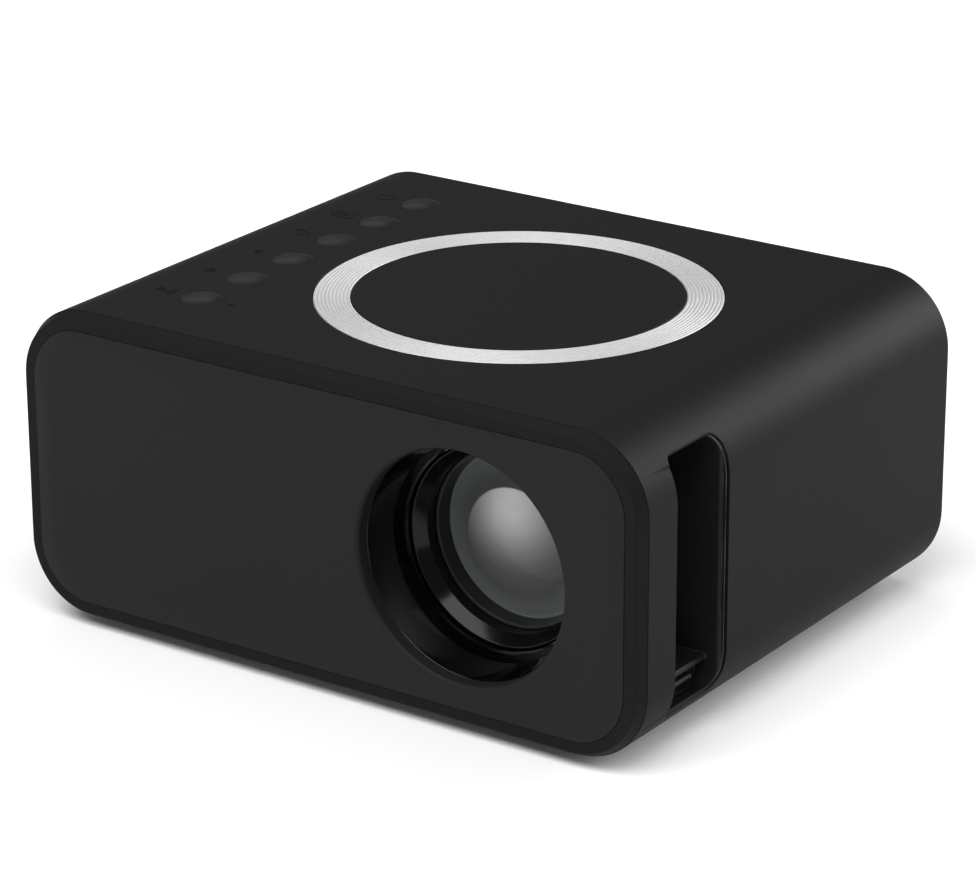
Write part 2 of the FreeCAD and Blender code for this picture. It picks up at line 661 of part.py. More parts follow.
SIDES = (-1, 1)


def case_outline(inset):
    """The tube's outline in the XZ plane, moved inwards."""
    return rounded(
        f"{inset} - CaseWidth / 2",
        f"CaseWidth / 2 - ({inset})",
        above(inset),
        above(f"CaseHeight - ({inset})"),
        f"CornerRadius - ({inset})",
    )


def four_places(x, across, y, along):
    """Four places about a middle, as (x, y) expressions."""
    return [(f"({x} + {sx} * ({across}))", f"({y} + {sy} * ({along}))") for sx in SIDES for sy in SIDES]


def inset_places(x, y):
    """Four places that lie in from the case's sides and from the tube's two ends."""
    return four_places("0", f"CaseWidth / 2 - {x}", behind(MID_BACK), f"CaseDepth / 2 - {y}")


FOOT_PLACES = inset_places("FootInX", "FootInY")
BASE_SCREW_PLACES = inset_places("BaseScrewInX", "BaseScrewInY")
REAR_SCREW_PLACES = four_places(
    "0",
    "CaseWidth / 2 - RearScrewInX",
    MID_Z,
    "CaseHeight / 2 - RearScrewInZ",
)
FAN_SCREW_PLACES = four_places(LENS_X, "FanHoles / 2", LENS_Z, "FanHoles / 2")
KEY_POST_PLACES = four_places(
    BUTTON_X,
    "KeyBoardWidth / 2 - KeyPostInset",
    behind(MID_BACK),
    f"{KEY_BOARD_LENGTH} / 2 - KeyPostInset",
)
BOARD_HOLE_PLACES = four_places(
    CHIP_X,
    f"({BOARD_RIGHT} - {BOARD_LEFT}) / 2 - BoardHoleInset",
    behind(f"{BOARD_REAR} - BoardHoleRear - BoardHoleApart / 2"),
    "BoardHoleApart / 2",
)
SOCKETS = (("Power", "PowerWidth"), ("Hdmi", "HdmiWidth"), ("Usb", "UsbWidth"), ("Audio", "AudioSize"))


def socket_x(name):
    """Middle of a socket; the four stand along the main board with equal gaps."""
    widths = dict(SOCKETS)
    left = f"({BOARD_LEFT} + SocketInLeft)"
    right = f"({BOARD_RIGHT} - SocketInRight)"
    gap = f"(({right} - {left} - {' - '.join(widths.values())}) / {len(SOCKETS) - 1})"
    before = [title for title, _ in SOCKETS].index(name)
    steps = "".join(f" + {width} + {gap}" for _, width in SOCKETS[:before])
    return f"({left}{steps} + {widths[name]} / 2)"


BUTTON_NAMES = ("play", "right", "left", "back", "source", "power")


def button_place(index):
    """Y of one of the six buttons, counted from the front."""
    return behind(f"{MID_BACK} + ({index} - 2.5) * ButtonPitch")


def circles(places, radius):
    """One circle at each place."""
    return [circle(x, y, radius) for x, y in places]


def row_of_slots(name, x, y, length, upright=False):
    """Slots side by side about a middle; an upright slot is long along the second axis."""
    outlines = []
    for index in range(int(number(name + "s"))):
        step = f"({index} - ({name}s - 1) / 2) * {name}Pitch"
        half = f"{name}Width / 2"
        if upright:
            sides = (f"{x} + {step} - {half}", f"{x} + {step} + {half}")
            outlines.append(round_slot(*sides, f"{y} - {length} / 2", f"{y} + {length} / 2", upright))
        else:
            sides = (f"{y} + {step} - {half}", f"{y} + {step} + {half}")
            outlines.append(round_slot(f"{x} - {length} / 2", f"{x} + {length} / 2", *sides))
    return outlines


def outline_inset(point):
    """How far a point lies inside the tube's outside."""
    radius = number("CornerRadius")
    flat_x = number("CaseWidth") / 2 - radius
    flat_z = number("CaseHeight") / 2 - radius
    over_x = max(abs(point.x) - flat_x, 0)
    over_z = max(abs(point.z - number(MID_Z)) - flat_z, 0)
    return radius - math.hypot(over_x, over_z)


def outside_edges(edge):
    """A test for edges that lie on the tube's outside."""
    first, last = edge.ParameterRange
    spots = [edge.valueAt(first + (last - first) * share) for share in (0.1, 0.5, 0.9)]
    return all(abs(outline_inset(spot)) < 1e-3 for spot in spots)


def slot_outline(grow, rear):
    """The focus slot in the YZ plane, grown all round, with its rear wall at a given place."""
    return rounded(
        behind(f"SlotFront - ({grow})"),
        behind(rear),
        above(f"SlotBottom - ({grow})"),
        above(f"CaseHeight - SlotDown + {grow}"),
        f"SlotFrontRound + {grow}",
        f"SlotRearRound + {grow}",
    )


def base_slots():
    """The air slots under the light engine."""
    return row_of_slots("BaseSlot", LENS_X, behind(f"{ENGINE_FRONT} + EngineLength / 2"), "BaseSlotLength")


def screw_group(label, places, axis, head_at, shank, turn):
    """Identical pan-head screws; turn is 1 where the shank runs along the positive axis."""
    members = []
    for x, y in places:
        body = new_body("screw")
        plane = "XZ" if axis == "y" else "XY"
        head_start = head_at if turn > 0 else f"{head_at} - ScrewHead"
        head_end = f"{head_at} + ScrewHead" if turn > 0 else f"{head_at} - ScrewHead"
        shank_start = head_end if turn > 0 else f"{head_end} - {shank}"
        add(body, plane, head_start, [circle(x, y, "ScrewHeadRadius")], "ScrewHead")
        add(body, plane, shank_start, [circle(x, y, "ScrewRadius")], shank)
        cross = [
            rectangle(f"{x} - {wide} / 2", f"{x} + {wide} / 2", f"{y} - {tall} / 2", f"{y} + {tall} / 2")
            for wide, tall in (("CrossLength", "CrossWidth"), ("CrossWidth", "CrossLength"))
        ]
        slot_start = head_at if turn > 0 else f"{head_at} - CrossDepth"
        for arm in cross:
            remove(body, plane, slot_start, [arm], "CrossDepth")
        members.append(body)
    return group(label, members)


# ---------------------------------------------------------------- case


def outer_sleeve():
    """The case itself: a rounded tube with the slot, the ring's groove and the holes."""
    body = new_body("outer_sleeve")
    tube = add(body, "XZ", behind("0"), [case_outline("0"), case_outline("CaseWall")], "CaseDepth")
    back_edge = flat_at("Y", behind("CaseDepth"))
    front_edge = flat_at("Y", behind("0"))
    rear = round_edges(body, tube, lambda e: back_edge(e) and outside_edges(e), "RearEdgeRound")
    round_edges(body, rear, lambda e: front_edge(e) and outside_edges(e), "FrontEdgeRound")
    # Posts under the top wall for the button board, and in the corners for the rear screws.
    add(body, "XY", KEY_BOARD_TOP, circles(KEY_POST_PLACES, "KeyPostRadius"),
        f"{CEILING_Z} + CaseWall / 2 - {KEY_BOARD_TOP}")
    add(body, "XZ", behind(f"{REAR_INNER} - RearPostLength"),
        circles(REAR_SCREW_PLACES, "RearPostRadius"), "RearPostLength")
    remove(body, "XY", KEY_BOARD_TOP, circles(KEY_POST_PLACES, "ScrewRadius + ScrewGap"), "BoardScrewLength")
    remove(body, "XZ", behind(f"{REAR_INNER} - RearPostLength"),
           circles(REAR_SCREW_PLACES, "ScrewRadius + ScrewGap"), "RearPostLength")
    # Top: the ring's groove and the six button holes.
    ring = [circle(RING_X, behind(MID_BACK), f"{RING_INNER} - RingSeam"),
            circle(RING_X, behind(MID_BACK), f"{RING_OUTER} + RingSeam")]
    remove(body, "XY", f"{TOP_Z} - RingSeat", ring, "RingSeat")
    buttons = [circle(BUTTON_X, button_place(i), "ButtonRadius + ButtonGap") for i in range(6)]
    remove(body, "XY", CEILING_Z, buttons, "CaseWall")
    # Underside: tripod bush, base screws and air slots.
    under = circles(BASE_SCREW_PLACES, "ScrewRadius + ScrewGap")
    under.append(circle("0", behind(MID_BACK), "TripodBushRadius + TrimGap"))
    remove(body, "XY", UNDERSIDE_Z, under + base_slots(), "CaseWall")
    remove(body, "XY", UNDERSIDE_Z, circles(BASE_SCREW_PLACES, "ScrewHeadRadius + ScrewGap"), "ScrewHead")
    # Left side: sound slots in front of the speaker.
    slots = row_of_slots("SideSlot", behind("SpeakerBack"), MID_Z, "SideSlotHeight", upright=True)
    remove(body, "YZ", "0 - CaseWidth / 2", slots, "CaseWall")
    # Right side: the focus slot, with its outer edges rounded.
    cut = remove(body, "YZ", "CaseWidth / 2 - CornerRadius",
                 [slot_outline("0", "SlotRear + SlotLip")], "CornerRadius")
    right = number("CaseWidth / 2 - CornerRadius")
    front = number(behind("SlotFront")) - 0.01
    back = number(behind("SlotRear + SlotLip")) + 0.01

    def slot_edges(edge):
        box = edge.BoundBox
        inside = box.XMin > right and box.YMin > front and box.YMax < back
        return inside and outside_edges(edge)
    round_edges(body, cut, slot_edges, "SlotEdgeRound")
    return keep(body, "outer_sleeve")


def front_frame():
    """The ring round the front panel, with a skirt and a ledge inside the tube."""
    body = new_body("front_frame")
    band = [case_outline("BezelInset"), case_outline("BezelBand")]
    ring = add(body, "XZ", behind("0 - BezelProud"), band, "BezelProud")
    front_edge = flat_at("Y", behind("0 - BezelProud"))
    middle = number("(BezelInset + BezelBand) / 2")

    def outer_front(edge):
        spot = edge.valueAt(edge.FirstParameter)
        return front_edge(edge) and outline_inset(spot) < middle
    round_edges(body, ring, outer_front, "BezelRound")
    add(body, "XZ", behind("0"), [case_outline("CaseWall + TrimGap"), case_outline("BezelBand")], PANEL_BACK)
    skirt = [case_outline("CaseWall + TrimGap"), case_outline("BezelBand + BezelLedge")]
    add(body, "XZ", behind(PANEL_BACK), skirt, f"BezelDepth - {PANEL_BACK}")
    return keep(body, "front_frame")


def front_panel():
    """The front face: a plate with a sloping border and the lens aperture."""
    body = new_body("front_panel")
    outline = [case_outline("BezelBand + PanelSeam"), circle(LENS_X, LENS_Z, APERTURE)]
    plate = add(body, "XZ", behind("0 - PanelProud"), outline, "PanelThick")
    front_edge = flat_at("Y", behind("0 - PanelProud"))
    reach = number(APERTURE) + 0.1
    axis = Vector(number(LENS_X), number(behind("0 - PanelProud")), number(LENS_Z))

    def hole(edge):
        return front_edge(edge) and edge.valueAt(edge.FirstParameter).distanceToPoint(axis) < reach

    def border(edge):
        return front_edge(edge) and not hole(edge)
    slope = round_edges(body, plate, border, "PillowWidth", "Chamfer")
    slope.ChamferType = "Two distances"
    bind(slope, "Size2", "PillowDrop")
    slope.FlipDirection = True
    round_edges(body, slope, hole, "ApertureRound")
    return keep(body, "front_panel")


def lens_hood():
    """The black recess behind the aperture, with a floor round the barrel."""
    depth = f"({HOLDER_FRONT} - {PANEL_BACK})"
    floor = f"(HoodFloor - {PANEL_BACK})"
    body = turned("lens_hood", "XY", (
        (APERTURE, "0"),
        (APERTURE, floor),
        (f"{BARREL} + HoodGap", floor),
        (f"{BARREL} + HoodGap", depth),
        (f"{APERTURE} + HoodWall", depth),
        (f"{APERTURE} + HoodWall", "0"),
    ), LENS_X, behind(PANEL_BACK), LENS_Z)
    return keep(body, "lens_hood")


def top_ring():
    """The bright ring let into the top, with fine grooves turned in it."""
    points = [(RING_OUTER, "0"), (RING_OUTER, "RingThick")]
    middle = f"({RING_INNER} + {RING_OUTER}) / 2"
    count = int(number("RidgeCount"))
    for index in range(count):
        groove = f"{middle} + ((RidgeCount - 1) / 2 - {index}) * RidgePitch"
        points.append((f"{groove} + RidgeWidth / 2", "RingThick"))
        points.append((groove, "RingThick - RidgeDepth"))
        points.append((f"{groove} - RidgeWidth / 2", "RingThick"))
    points += [(RING_INNER, "RingThick"), (RING_INNER, "0")]
    body = turned("top_ring", "XZ", points, RING_X, behind(MID_BACK), f"{TOP_Z} - RingSeat")
    return keep(body, "top_ring")


def slot_liner():
    """The well behind the focus slot: four walls, a lip, a shelf and a rib."""
    wall_x = "(CaseWidth / 2 - CaseWall - LinerDepth)"
    depth = "(CaseWall + LinerDepth)"
    inner = new_body("inner_space")
    add(inner, "XZ", behind("0"), [case_outline("CaseWall + TrimGap")], "CaseDepth")
    well = new_body("liner_walls")
    add(well, "YZ", wall_x, [slot_outline("LinerWall", "SlotRear + LinerWall")], depth)
    walls = common("liner_in_tube", inner, well)
    skin = new_body("lip_space")
    add(skin, "XZ", behind("0"), [case_outline("LipSink")], "CaseDepth")
    lip = new_body("liner_lip")
    add(lip, "YZ", wall_x, [slot_outline("0 - TrimGap", "SlotRear + SlotLip - TrimGap")], depth)
    lips = common("lip_in_slot", skin, lip)
    hollow = new_body("liner_hollow")
    add(hollow, "YZ", wall_x, [slot_outline("0", "SlotRear")], depth)
    shell = doc.addObject("Part::MultiFuse", "liner_shell")
    shell.Shapes = [walls, lips]
    open_shell = cut("liner_open", shell, hollow)
    floor = new_body("liner_shelf")
    front, rear = behind("SlotFront"), behind("SlotRear")
    shelf_x = "CaseWidth / 2 - ShelfInset"
    top = above("ShelfUp")
    rib = f"({top} - RibDrop)"
    low = above("SlotBottom")
    length = f"{shelf_x} - {wall_x}"
    under = f"{top} - ShelfThick"
    add(floor, "YZ", wall_x, [rectangle(front, rear, under, top)], length)
    add(floor, "YZ", wall_x, [rectangle(front, rear, low, under)], f"{length} - 2 * ShelfThick")
    add(floor, "YZ", wall_x, [rectangle(front, f"{rear} - RibShort", f"{rib} - RibThick", rib)], length)
    floor_in = common("shelf_in_tube", floor, inner)
    liner = doc.addObject("Part::MultiFuse", "slot_liner")
    liner.Shapes = [open_shell, floor_in]
    return keep(liner, "slot_liner")


def rear_panel():
    """The rear face: air grille, socket openings and screw holes."""
    body = new_body("rear_panel")
    add(body, "XZ", behind(REAR_INNER), [case_outline("CaseWall + RearSeam")], "RearThick")
    remove(body, "XZ", behind(REAR_INNER), grille_slots(), "RearThick")
    holes = circles(REAR_SCREW_PLACES + FAN_SCREW_PLACES, "ScrewRadius + ScrewGap")
    remove(body, "XZ", behind(REAR_INNER), holes, "RearThick")
    heads = circles(REAR_SCREW_PLACES + FAN_SCREW_PLACES, "ScrewHeadRadius + ScrewGap")
    remove(body, "XZ", behind(f"{REAR_OUTER} - ScrewHead"), heads, "ScrewHead")
    remove(body, "XZ", behind(REAR_INNER), port_outlines(), "RearThick")
    return keep(body, "rear_panel")


def grille_slots():
    """Level slots whose ends follow a circle behind the fan."""
    outlines = []
    for index in range(int(number("GrilleBars"))):
        rise = f"(({index} - (GrilleBars - 1) / 2) * GrillePitch)"
        reach = f"sqrt(GrilleRadius ^ 2 - {rise} ^ 2)"
        outlines.append(round_slot(
            f"{LENS_X} - {reach}",
            f"{LENS_X} + {reach}",
            f"{LENS_Z} + {rise} - GrilleSlot / 2",
            f"{LENS_Z} + {rise} + GrilleSlot / 2",
        ))
    return outlines


def port_outlines():
    """The openings round the four sockets, in the XZ plane."""
    outlines = []
    for name in ("Hdmi", "Usb", "Power"):
        low = f"{MAIN_BOARD_TOP} - PortGap"
        high = f"{MAIN_BOARD_TOP} + {name}Height + PortGap"
        half = f"{name}Width / 2 + PortGap"
        x = socket_x(name)
        outlines.append(rounded(f"{x} - ({half})", f"{x} + {half}", low, high, "SocketRound"))
    outlines.append(circle(socket_x("Audio"), f"{MAIN_BOARD_TOP} + AudioSize / 2", "AudioSize / 2 - PortGap"))
    return outlines


# ---------------------------------------------------------------- underside


def chassis_tray():
    """The tray that carries the light engine and the main board."""
    body = new_body("chassis_tray")
    front = behind("TrayFront")
    half = "(CaseWidth / 2 - TrayInX)"
    outline = rounded(f"0 - {half}", half, front, f"{front} + {TRAY_LENGTH}", "TrayRound")
    add(body, "XY", FLOOR_Z, [outline], "TrayThick")
    add(body, "XY", TRAY_TOP, circles(BOARD_HOLE_PLACES, "StandoffRadius"), "StandoffHeight")
    add(body, "XY", TRAY_TOP, circles(BASE_SCREW_PLACES, "StandoffRadius"), "BasePostHeight")
    rails = []
    for side in SIDES:
        middle = f"{LENS_X} + {side} * RailApart / 2"
        rails.append(rectangle(f"{middle} - RailWidth / 2", f"{middle} + RailWidth / 2",
                               behind(ENGINE_FRONT), behind(ENGINE_BACK)))
    add(body, "XY", TRAY_TOP, rails, f"{LENS_Z} - {ENGINE_HEIGHT} / 2 - {TRAY_TOP}")
    notch = rectangle(f"{LENS_X} - NotchHalf", f"{LENS_X} + NotchHalf",
                      f"{front} - 1", behind(f"{HOLDER_FRONT} + WheelWidth + 3 * SideGap"))
    holes = circles(BOARD_HOLE_PLACES + BASE_SCREW_PLACES, "ScrewRadius + ScrewGap")
    holes.append(circle("0", behind(MID_BACK), "TripodBushRadius + TrimGap"))
    remove(body, "XY", FLOOR_Z, [notch], "TrayThick")
    remove(body, "XY", FLOOR_Z, holes + base_slots(), "TrayThick + StandoffHeight")
    return keep(body, "chassis_tray")


def rubber_feet():
    """Four round feet under the case."""
    feet = []
    for x, y in FOOT_PLACES:
        feet.append(turned("foot", "XZ", (
            ("0", "0"),
            ("FootRadius - FootRound", "0"),
            ("FootRadius", "FootRound"),
            ("FootRadius", "FootHeight"),
            ("0", "FootHeight"),
        ), x, y))
    return group("rubber_feet", feet)


def tripod_bush():
    """A flanged brass bush with a blind threaded hole."""
    tray = "(CaseWall + TrayThick)"
    body = turned("tripod_bush", "XZ", (
        ("TripodHoleRadius", "0"),
        ("TripodBushRadius", "0"),
        ("TripodBushRadius", tray),
        ("TripodFlangeRadius", tray),
        ("TripodFlangeRadius", f"{tray} + TripodFlange"),
        ("TripodBushRadius", f"{tray} + TripodFlange"),
        ("TripodBushRadius", "TripodDepth"),
        ("0", "TripodDepth"),
        ("0", "TripodHoleDepth"),
        ("TripodHoleRadius", "TripodHoleDepth"),
    ), "0", behind(MID_BACK), UNDERSIDE_Z)
    return keep(body, "tripod_bush")


# ---------------------------------------------------------------- buttons


def button(index, label):
    """A domed cap with a flange that keeps it in its hole."""
    rest = "(CaseWall - ButtonDome / 4 + FlangeGap)"
    rim = f"(FlangeThick + {rest})"
    bulge = "(ButtonDome * 5 / 4)"
    body = turned("button_" + label, "XZ", (
        ("0", "0"),
        ("ButtonFlange", "0"),
        ("ButtonFlange", "FlangeThick"),
        ("ButtonRadius", "FlangeThick"),
        ("ButtonRadius", rim),
        arc_to("0", f"{rim} + {bulge}", dome_radius("ButtonRadius", bulge), -1),
    ), BUTTON_X, button_place(index), f"{CEILING_Z} - FlangeGap - FlangeThick")
    return keep(body, "button_" + label)


def button_board():
    """The narrow circuit board under the buttons."""
    body = new_body("button_board")
    outline = rounded(
        f"{BUTTON_X} - KeyBoardWidth / 2",
        f"{BUTTON_X} + KeyBoardWidth / 2",
        behind(f"{MID_BACK} - {KEY_BOARD_LENGTH} / 2"),
        behind(f"{MID_BACK} + {KEY_BOARD_LENGTH} / 2"),
        "BoardRound",
    )
    add(body, "XY", f"{KEY_BOARD_TOP} - BoardThick", [outline], "BoardThick")
    remove(body, "XY", f"{KEY_BOARD_TOP} - BoardThick",
           circles(KEY_POST_PLACES, "ScrewRadius + ScrewGap"), "BoardThick")
    return keep(body, "button_board")


def tact_switches():
    """One switch under each button."""
    members = []
    for index in range(6):
        body = new_body("switch")
        y = button_place(index)
        half = "SwitchSize / 2"
        add(body, "XY", KEY_BOARD_TOP,
            [rectangle(f"{BUTTON_X} - {half}", f"{BUTTON_X} + {half}", f"{y} - {half}", f"{y} + {half}")],
            "SwitchBody")
        add(body, "XY", f"{KEY_BOARD_TOP} + SwitchBody", [circle(BUTTON_X, y, "PlungerRadius")],
            "PlungerHeight")
        members.append(body)
    return group("tact_switches", members)


# ---------------------------------------------------------------- boards and sockets


def main_board():
    """The main circuit board."""
    body = new_body("main_board")
    outline = rounded(
        BOARD_LEFT,
        BOARD_RIGHT,
        behind(f"{BOARD_REAR} - MainBoardLength"),
        behind(BOARD_REAR),
        "BoardRound",
    )
    add(body, "XY", MAIN_BOARD_Z, [outline], "BoardThick")
    remove(body, "XY", MAIN_BOARD_Z, circles(BOARD_HOLE_PLACES, "ScrewRadius + ScrewGap"), "BoardThick")
    return keep(body, "main_board")


def shell_socket(label, name):
    """A sheet-metal socket with a tongue: HDMI, USB or power."""
    body = new_body(label)
    x = socket_x(name)
    half = f"{name}Width / 2"
    start = behind(f"{SOCKET_MOUTH} - SocketDepth")
    top = f"{MAIN_BOARD_TOP} + {name}Height"
    middle = f"{MAIN_BOARD_TOP} + {name}Height / 2"
    outer = rounded(f"{x} - {half}", f"{x} + {half}", MAIN_BOARD_TOP, top, "SocketRound")
    inner = rounded(
        f"{x} - {half} + ShellWall",
        f"{x} + {half} - ShellWall",
        f"{MAIN_BOARD_TOP} + ShellWall",
        f"{top} - ShellWall",
        "SocketRound - ShellWall",
    )
    tongue = rectangle(
        f"{x} - {half} + TongueSide",
        f"{x} + {half} - TongueSide",
        f"{middle} - TongueThick / 2",
        f"{middle} + TongueThick / 2",
    )
    add(body, "XZ", start, [outer], "SocketDepth")
    remove(body, "XZ", f"{start} + ShellBack", [inner], "SocketDepth - ShellBack")
    add(body, "XZ", f"{start} + ShellBack", [tongue], "TongueDepth")
    return keep(body, label)


def audio_socket():
    """A plastic block with a round bore whose nose reaches into the rear panel."""
    body = new_body("audio_socket")
    x = socket_x("Audio")
    half = "AudioSize / 2"
    middle = f"{MAIN_BOARD_TOP} + {half}"
    start = behind(f"{SOCKET_MOUTH} - SocketDepth")
    top = f"{MAIN_BOARD_TOP} + AudioSize"
    block = rectangle(f"{x} - {half}", f"{x} + {half}", MAIN_BOARD_TOP, top)
    add(body, "XZ", start, [block], "SocketDepth - SocketProud - TrimGap")
    add(body, "XZ", start, [circle(x, middle, f"{half} - 2 * PortGap")], "SocketDepth")
    bore = circle(x, middle, "AudioBore")
    remove(body, "XZ", f"{start} + SocketDepth - AudioDepth", [bore], "AudioDepth")
    return keep(body, "audio_socket")


def chip_square(side):
    """A square about the main chip's middle."""
    y = behind(CHIP_BACK)
    half = f"{side} / 2"
    return rectangle(f"{CHIP_X} - {half}", f"{CHIP_X} + {half}", f"{y} - {half}", f"{y} + {half}")


def main_chip():
    """The processor on the main board."""
    body = new_body("main_chip")
    add(body, "XY", MAIN_BOARD_TOP, [chip_square("ChipSide")], "ChipThick")
    return keep(body, "main_chip")


def chip_cooler():
    """A finned cooler on the main chip."""
    body = new_body("chip_cooler")
    half = "CoolerSide / 2"
    y = behind(CHIP_BACK)
    base = f"{MAIN_BOARD_TOP} + ChipThick"
    add(body, "XY", base, [chip_square("CoolerSide")], "CoolerHeight")
    gaps = []
    for index in range(int(number("CoolerFins"))):
        middle = f"{CHIP_X} + ({index} - (CoolerFins - 1) / 2) * CoolerPitch"
        gaps.append(rectangle(f"{middle} - CoolerGap / 2", f"{middle} + CoolerGap / 2",
                              f"{y} - {half}", f"{y} + {half}"))
    remove(body, "XY", f"{base} + CoolerBase", gaps, "CoolerHeight - CoolerBase")
    return keep(body, "chip_cooler")


def capacitors():
    """Three round capacitors beside the chip."""
    members = []
    for index in range(3):
        body = new_body("capacitor")
        x = f"{BOARD_LEFT} + {index} * CapPitch + 2 * CapRadius"
        y = behind(CAP_BACK)
        add(body, "XY", MAIN_BOARD_TOP, [circle(x, y, "CapRadius")], "CapHeight")
        members.append(body)
    return group("capacitors", members)


def key_ribbon():
    """The flat ribbon from the button board down to the main board."""
    body = new_body("key_ribbon")
    top = f"({KEY_BOARD_TOP} - BoardThick)"
    left = f"({BUTTON_X} + KeyBoardWidth / 2 - RibbonTail)"
    outline = polygon(
        (left, top),
        (left, f"{top} - RibbonThick"),
        (f"{RIBBON_X} - RibbonThick", f"{top} - RibbonThick"),
        (f"{RIBBON_X} - RibbonThick", MAIN_BOARD_TOP),
        (f"{RIBBON_X} + RibbonTail", MAIN_BOARD_TOP),
        (f"{RIBBON_X} + RibbonTail", f"{MAIN_BOARD_TOP} + RibbonThick"),
        (RIBBON_X, f"{MAIN_BOARD_TOP} + RibbonThick"),
        (RIBBON_X, top),
    )
    add(body, "XZ", behind(RIBBON_BACK), [outline], "RibbonWidth")
    return keep(body, "key_ribbon")


def speaker():
    """A small round speaker against the left wall."""
    body = new_body("speaker")
    wall = "CaseWall - CaseWidth / 2"
    y = behind("SpeakerBack")
    add(body, "YZ", wall, [circle(y, MID_Z, "SpeakerRadius")], "SpeakerDepth")
    add(body, "YZ", f"{wall} + SpeakerDepth", [circle(y, MID_Z, "SpeakerMagnet")], "MagnetDepth")
    remove(body, "YZ", wall, [circle(y, MID_Z, "SpeakerRadius - SpeakerRim")], "ConeDepth")
    return keep(body, "speaker")


# ---------------------------------------------------------------- lens


def lens_holder():
    """The fixed tube that guides the barrel and carries the focus wheel."""
    flange = "(HolderLength - HolderFlange)"
    shoulder = "(WheelWidth + 2 * SideGap)"
    body = turned("lens_holder", "XY", (
        (GUIDE_BORE, "0"),
        (GUIDE_RADIUS, "0"),
        (GUIDE_RADIUS, shoulder),
        (SHOULDER, shoulder),
        (SHOULDER, f"{shoulder} + ShoulderThick"),
        (GUIDE_RADIUS, f"{shoulder} + ShoulderThick"),
        (GUIDE_RADIUS, "HolderLength"),
        (GUIDE_BORE, "HolderLength"),
    ), LENS_X, behind(HOLDER_FRONT), LENS_Z)
    plate = [engine_outline("0"), circle("0", "0", f"{GUIDE_BORE} + HolderWall / 2")]
    add(body, "XZ", flange, plate, "HolderFlange")
    remove(body, "XZ", flange, circles(four_places("0", HOLDER_SCREW_X, "0", HOLDER_SCREW_Z),
                                       "ScrewRadius + ScrewGap"), "HolderFlange")
    return keep(body, "lens_holder")


def engine_outline(inset):
    """The light engine's outline about the lens axis, moved inwards."""
    return rounded(
        f"{inset} - EngineWidth / 2",
        f"EngineWidth / 2 - ({inset})",
        f"{inset} - {ENGINE_HEIGHT} / 2",
        f"{ENGINE_HEIGHT} / 2 - ({inset})",
        "EngineRound",
    )


def focus_wheel():
    """The ribbed wheel that a finger turns through the slot."""
    bore = f"({GUIDE_RADIUS} + RunningGap)"
    body = turned("focus_wheel", "XY", (
        (bore, "0"),
        (f"{WHEEL} - WheelChamfer", "0"),
        (WHEEL, "WheelChamfer"),
        (WHEEL, "WheelWidth - WheelChamfer"),
        (f"{WHEEL} - WheelChamfer", "WheelWidth"),
        (bore, "WheelWidth"),
    ), LENS_X, behind(f"{HOLDER_FRONT} + SideGap"), LENS_Z)
    groove = remove(body, "XZ", "0", [rectangle(f"{WHEEL} - KnurlDepth", f"{WHEEL} + KnurlDepth",
                                               "0 - KnurlWidth / 2", "KnurlWidth / 2")], "WheelWidth")
    turn_round(body, groove, "KnurlCount")
    return keep(body, "focus_wheel")


def turn_round(body, feature, count):
    """Repeat a feature round the body's own Y axis."""
    pattern = body.newObject("PartDesign::PolarPattern", "PolarPattern")
    pattern.Originals = [feature]
    axis = next(f for f in body.Origin.OriginFeatures if f.Role == "Y_Axis")
    pattern.Axis = (axis, [""])
    pattern.Angle = 360
    bind(pattern, "Occurrences", count)
    body.Tip = pattern
    return pattern


def lens_barrel():
    """The tube that holds both lenses, with a bevelled mouth."""
    glass_back = "(MouthDepth + ClampLength + LensEdge)"
    seat = f"({BARREL_LENGTH} - RearLensDepth)"
    body = turned("lens_barrel", "XY", (
        (f"{BARREL} - BarrelRim", "0"),
        (BARREL, "BarrelRim"),
        (BARREL, BARREL_LENGTH),
        (REAR_LENS, BARREL_LENGTH),
        (REAR_LENS, seat),
        (REAR_STOP, seat),
        (REAR_STOP, f"{seat} - RearStopThick"),
        (TUNNEL, f"{seat} - RearStopThick"),
        (TUNNEL, glass_back),
        (MOUTH, glass_back),
        (MOUTH, "BevelDepth"),
    ), LENS_X, behind("BarrelFront"), LENS_Z)
    return keep(body, "lens_barrel")


def front_lens_ring():
    """The thin ring that clamps the front lens."""
    outer = f"({MOUTH} - RunningGap)"
    body = turned("front_lens_ring", "XY", (
        (outer, "0"),
        (outer, "ClampLength"),
        (CLAMP_BACK, "ClampLength"),
        (CLAMP_FRONT, "0"),
    ), LENS_X, behind("BarrelFront + MouthDepth"), LENS_Z)
    return keep(body, "front_lens_ring")


def front_lens():
    """The domed front lens."""
    outer = f"({MOUTH} - RunningGap)"
    body = turned("front_lens", "XY", (
        ("0", "0"),
        (outer, "0"),
        (outer, "LensEdge"),
        (FRONT_DOME, "LensEdge"),
        arc_to("0", "LensEdge + LensBulge", dome_radius(FRONT_DOME, "LensBulge"), -1),
    ), LENS_X, behind(f"{SEAT_BACK} + LensEdge"), LENS_Z, facing_front=True)
    return keep(body, "front_lens")


def rear_lens():
    """The smaller lens at the barrel's rear end."""
    outer = f"({REAR_LENS} - RunningGap)"
    body = turned("rear_lens", "XY", (
        ("0", "0"),
        (outer, "0"),
        (outer, "RearLensThick"),
        (REAR_DOME, "RearLensThick"),
        arc_to("0", "RearLensThick + RearLensBulge", dome_radius(REAR_DOME, "RearLensBulge"), -1),
    ), LENS_X, behind(f"BarrelFront + {BARREL_LENGTH} - RearLensDepth"), LENS_Z)
    return keep(body, "rear_lens")


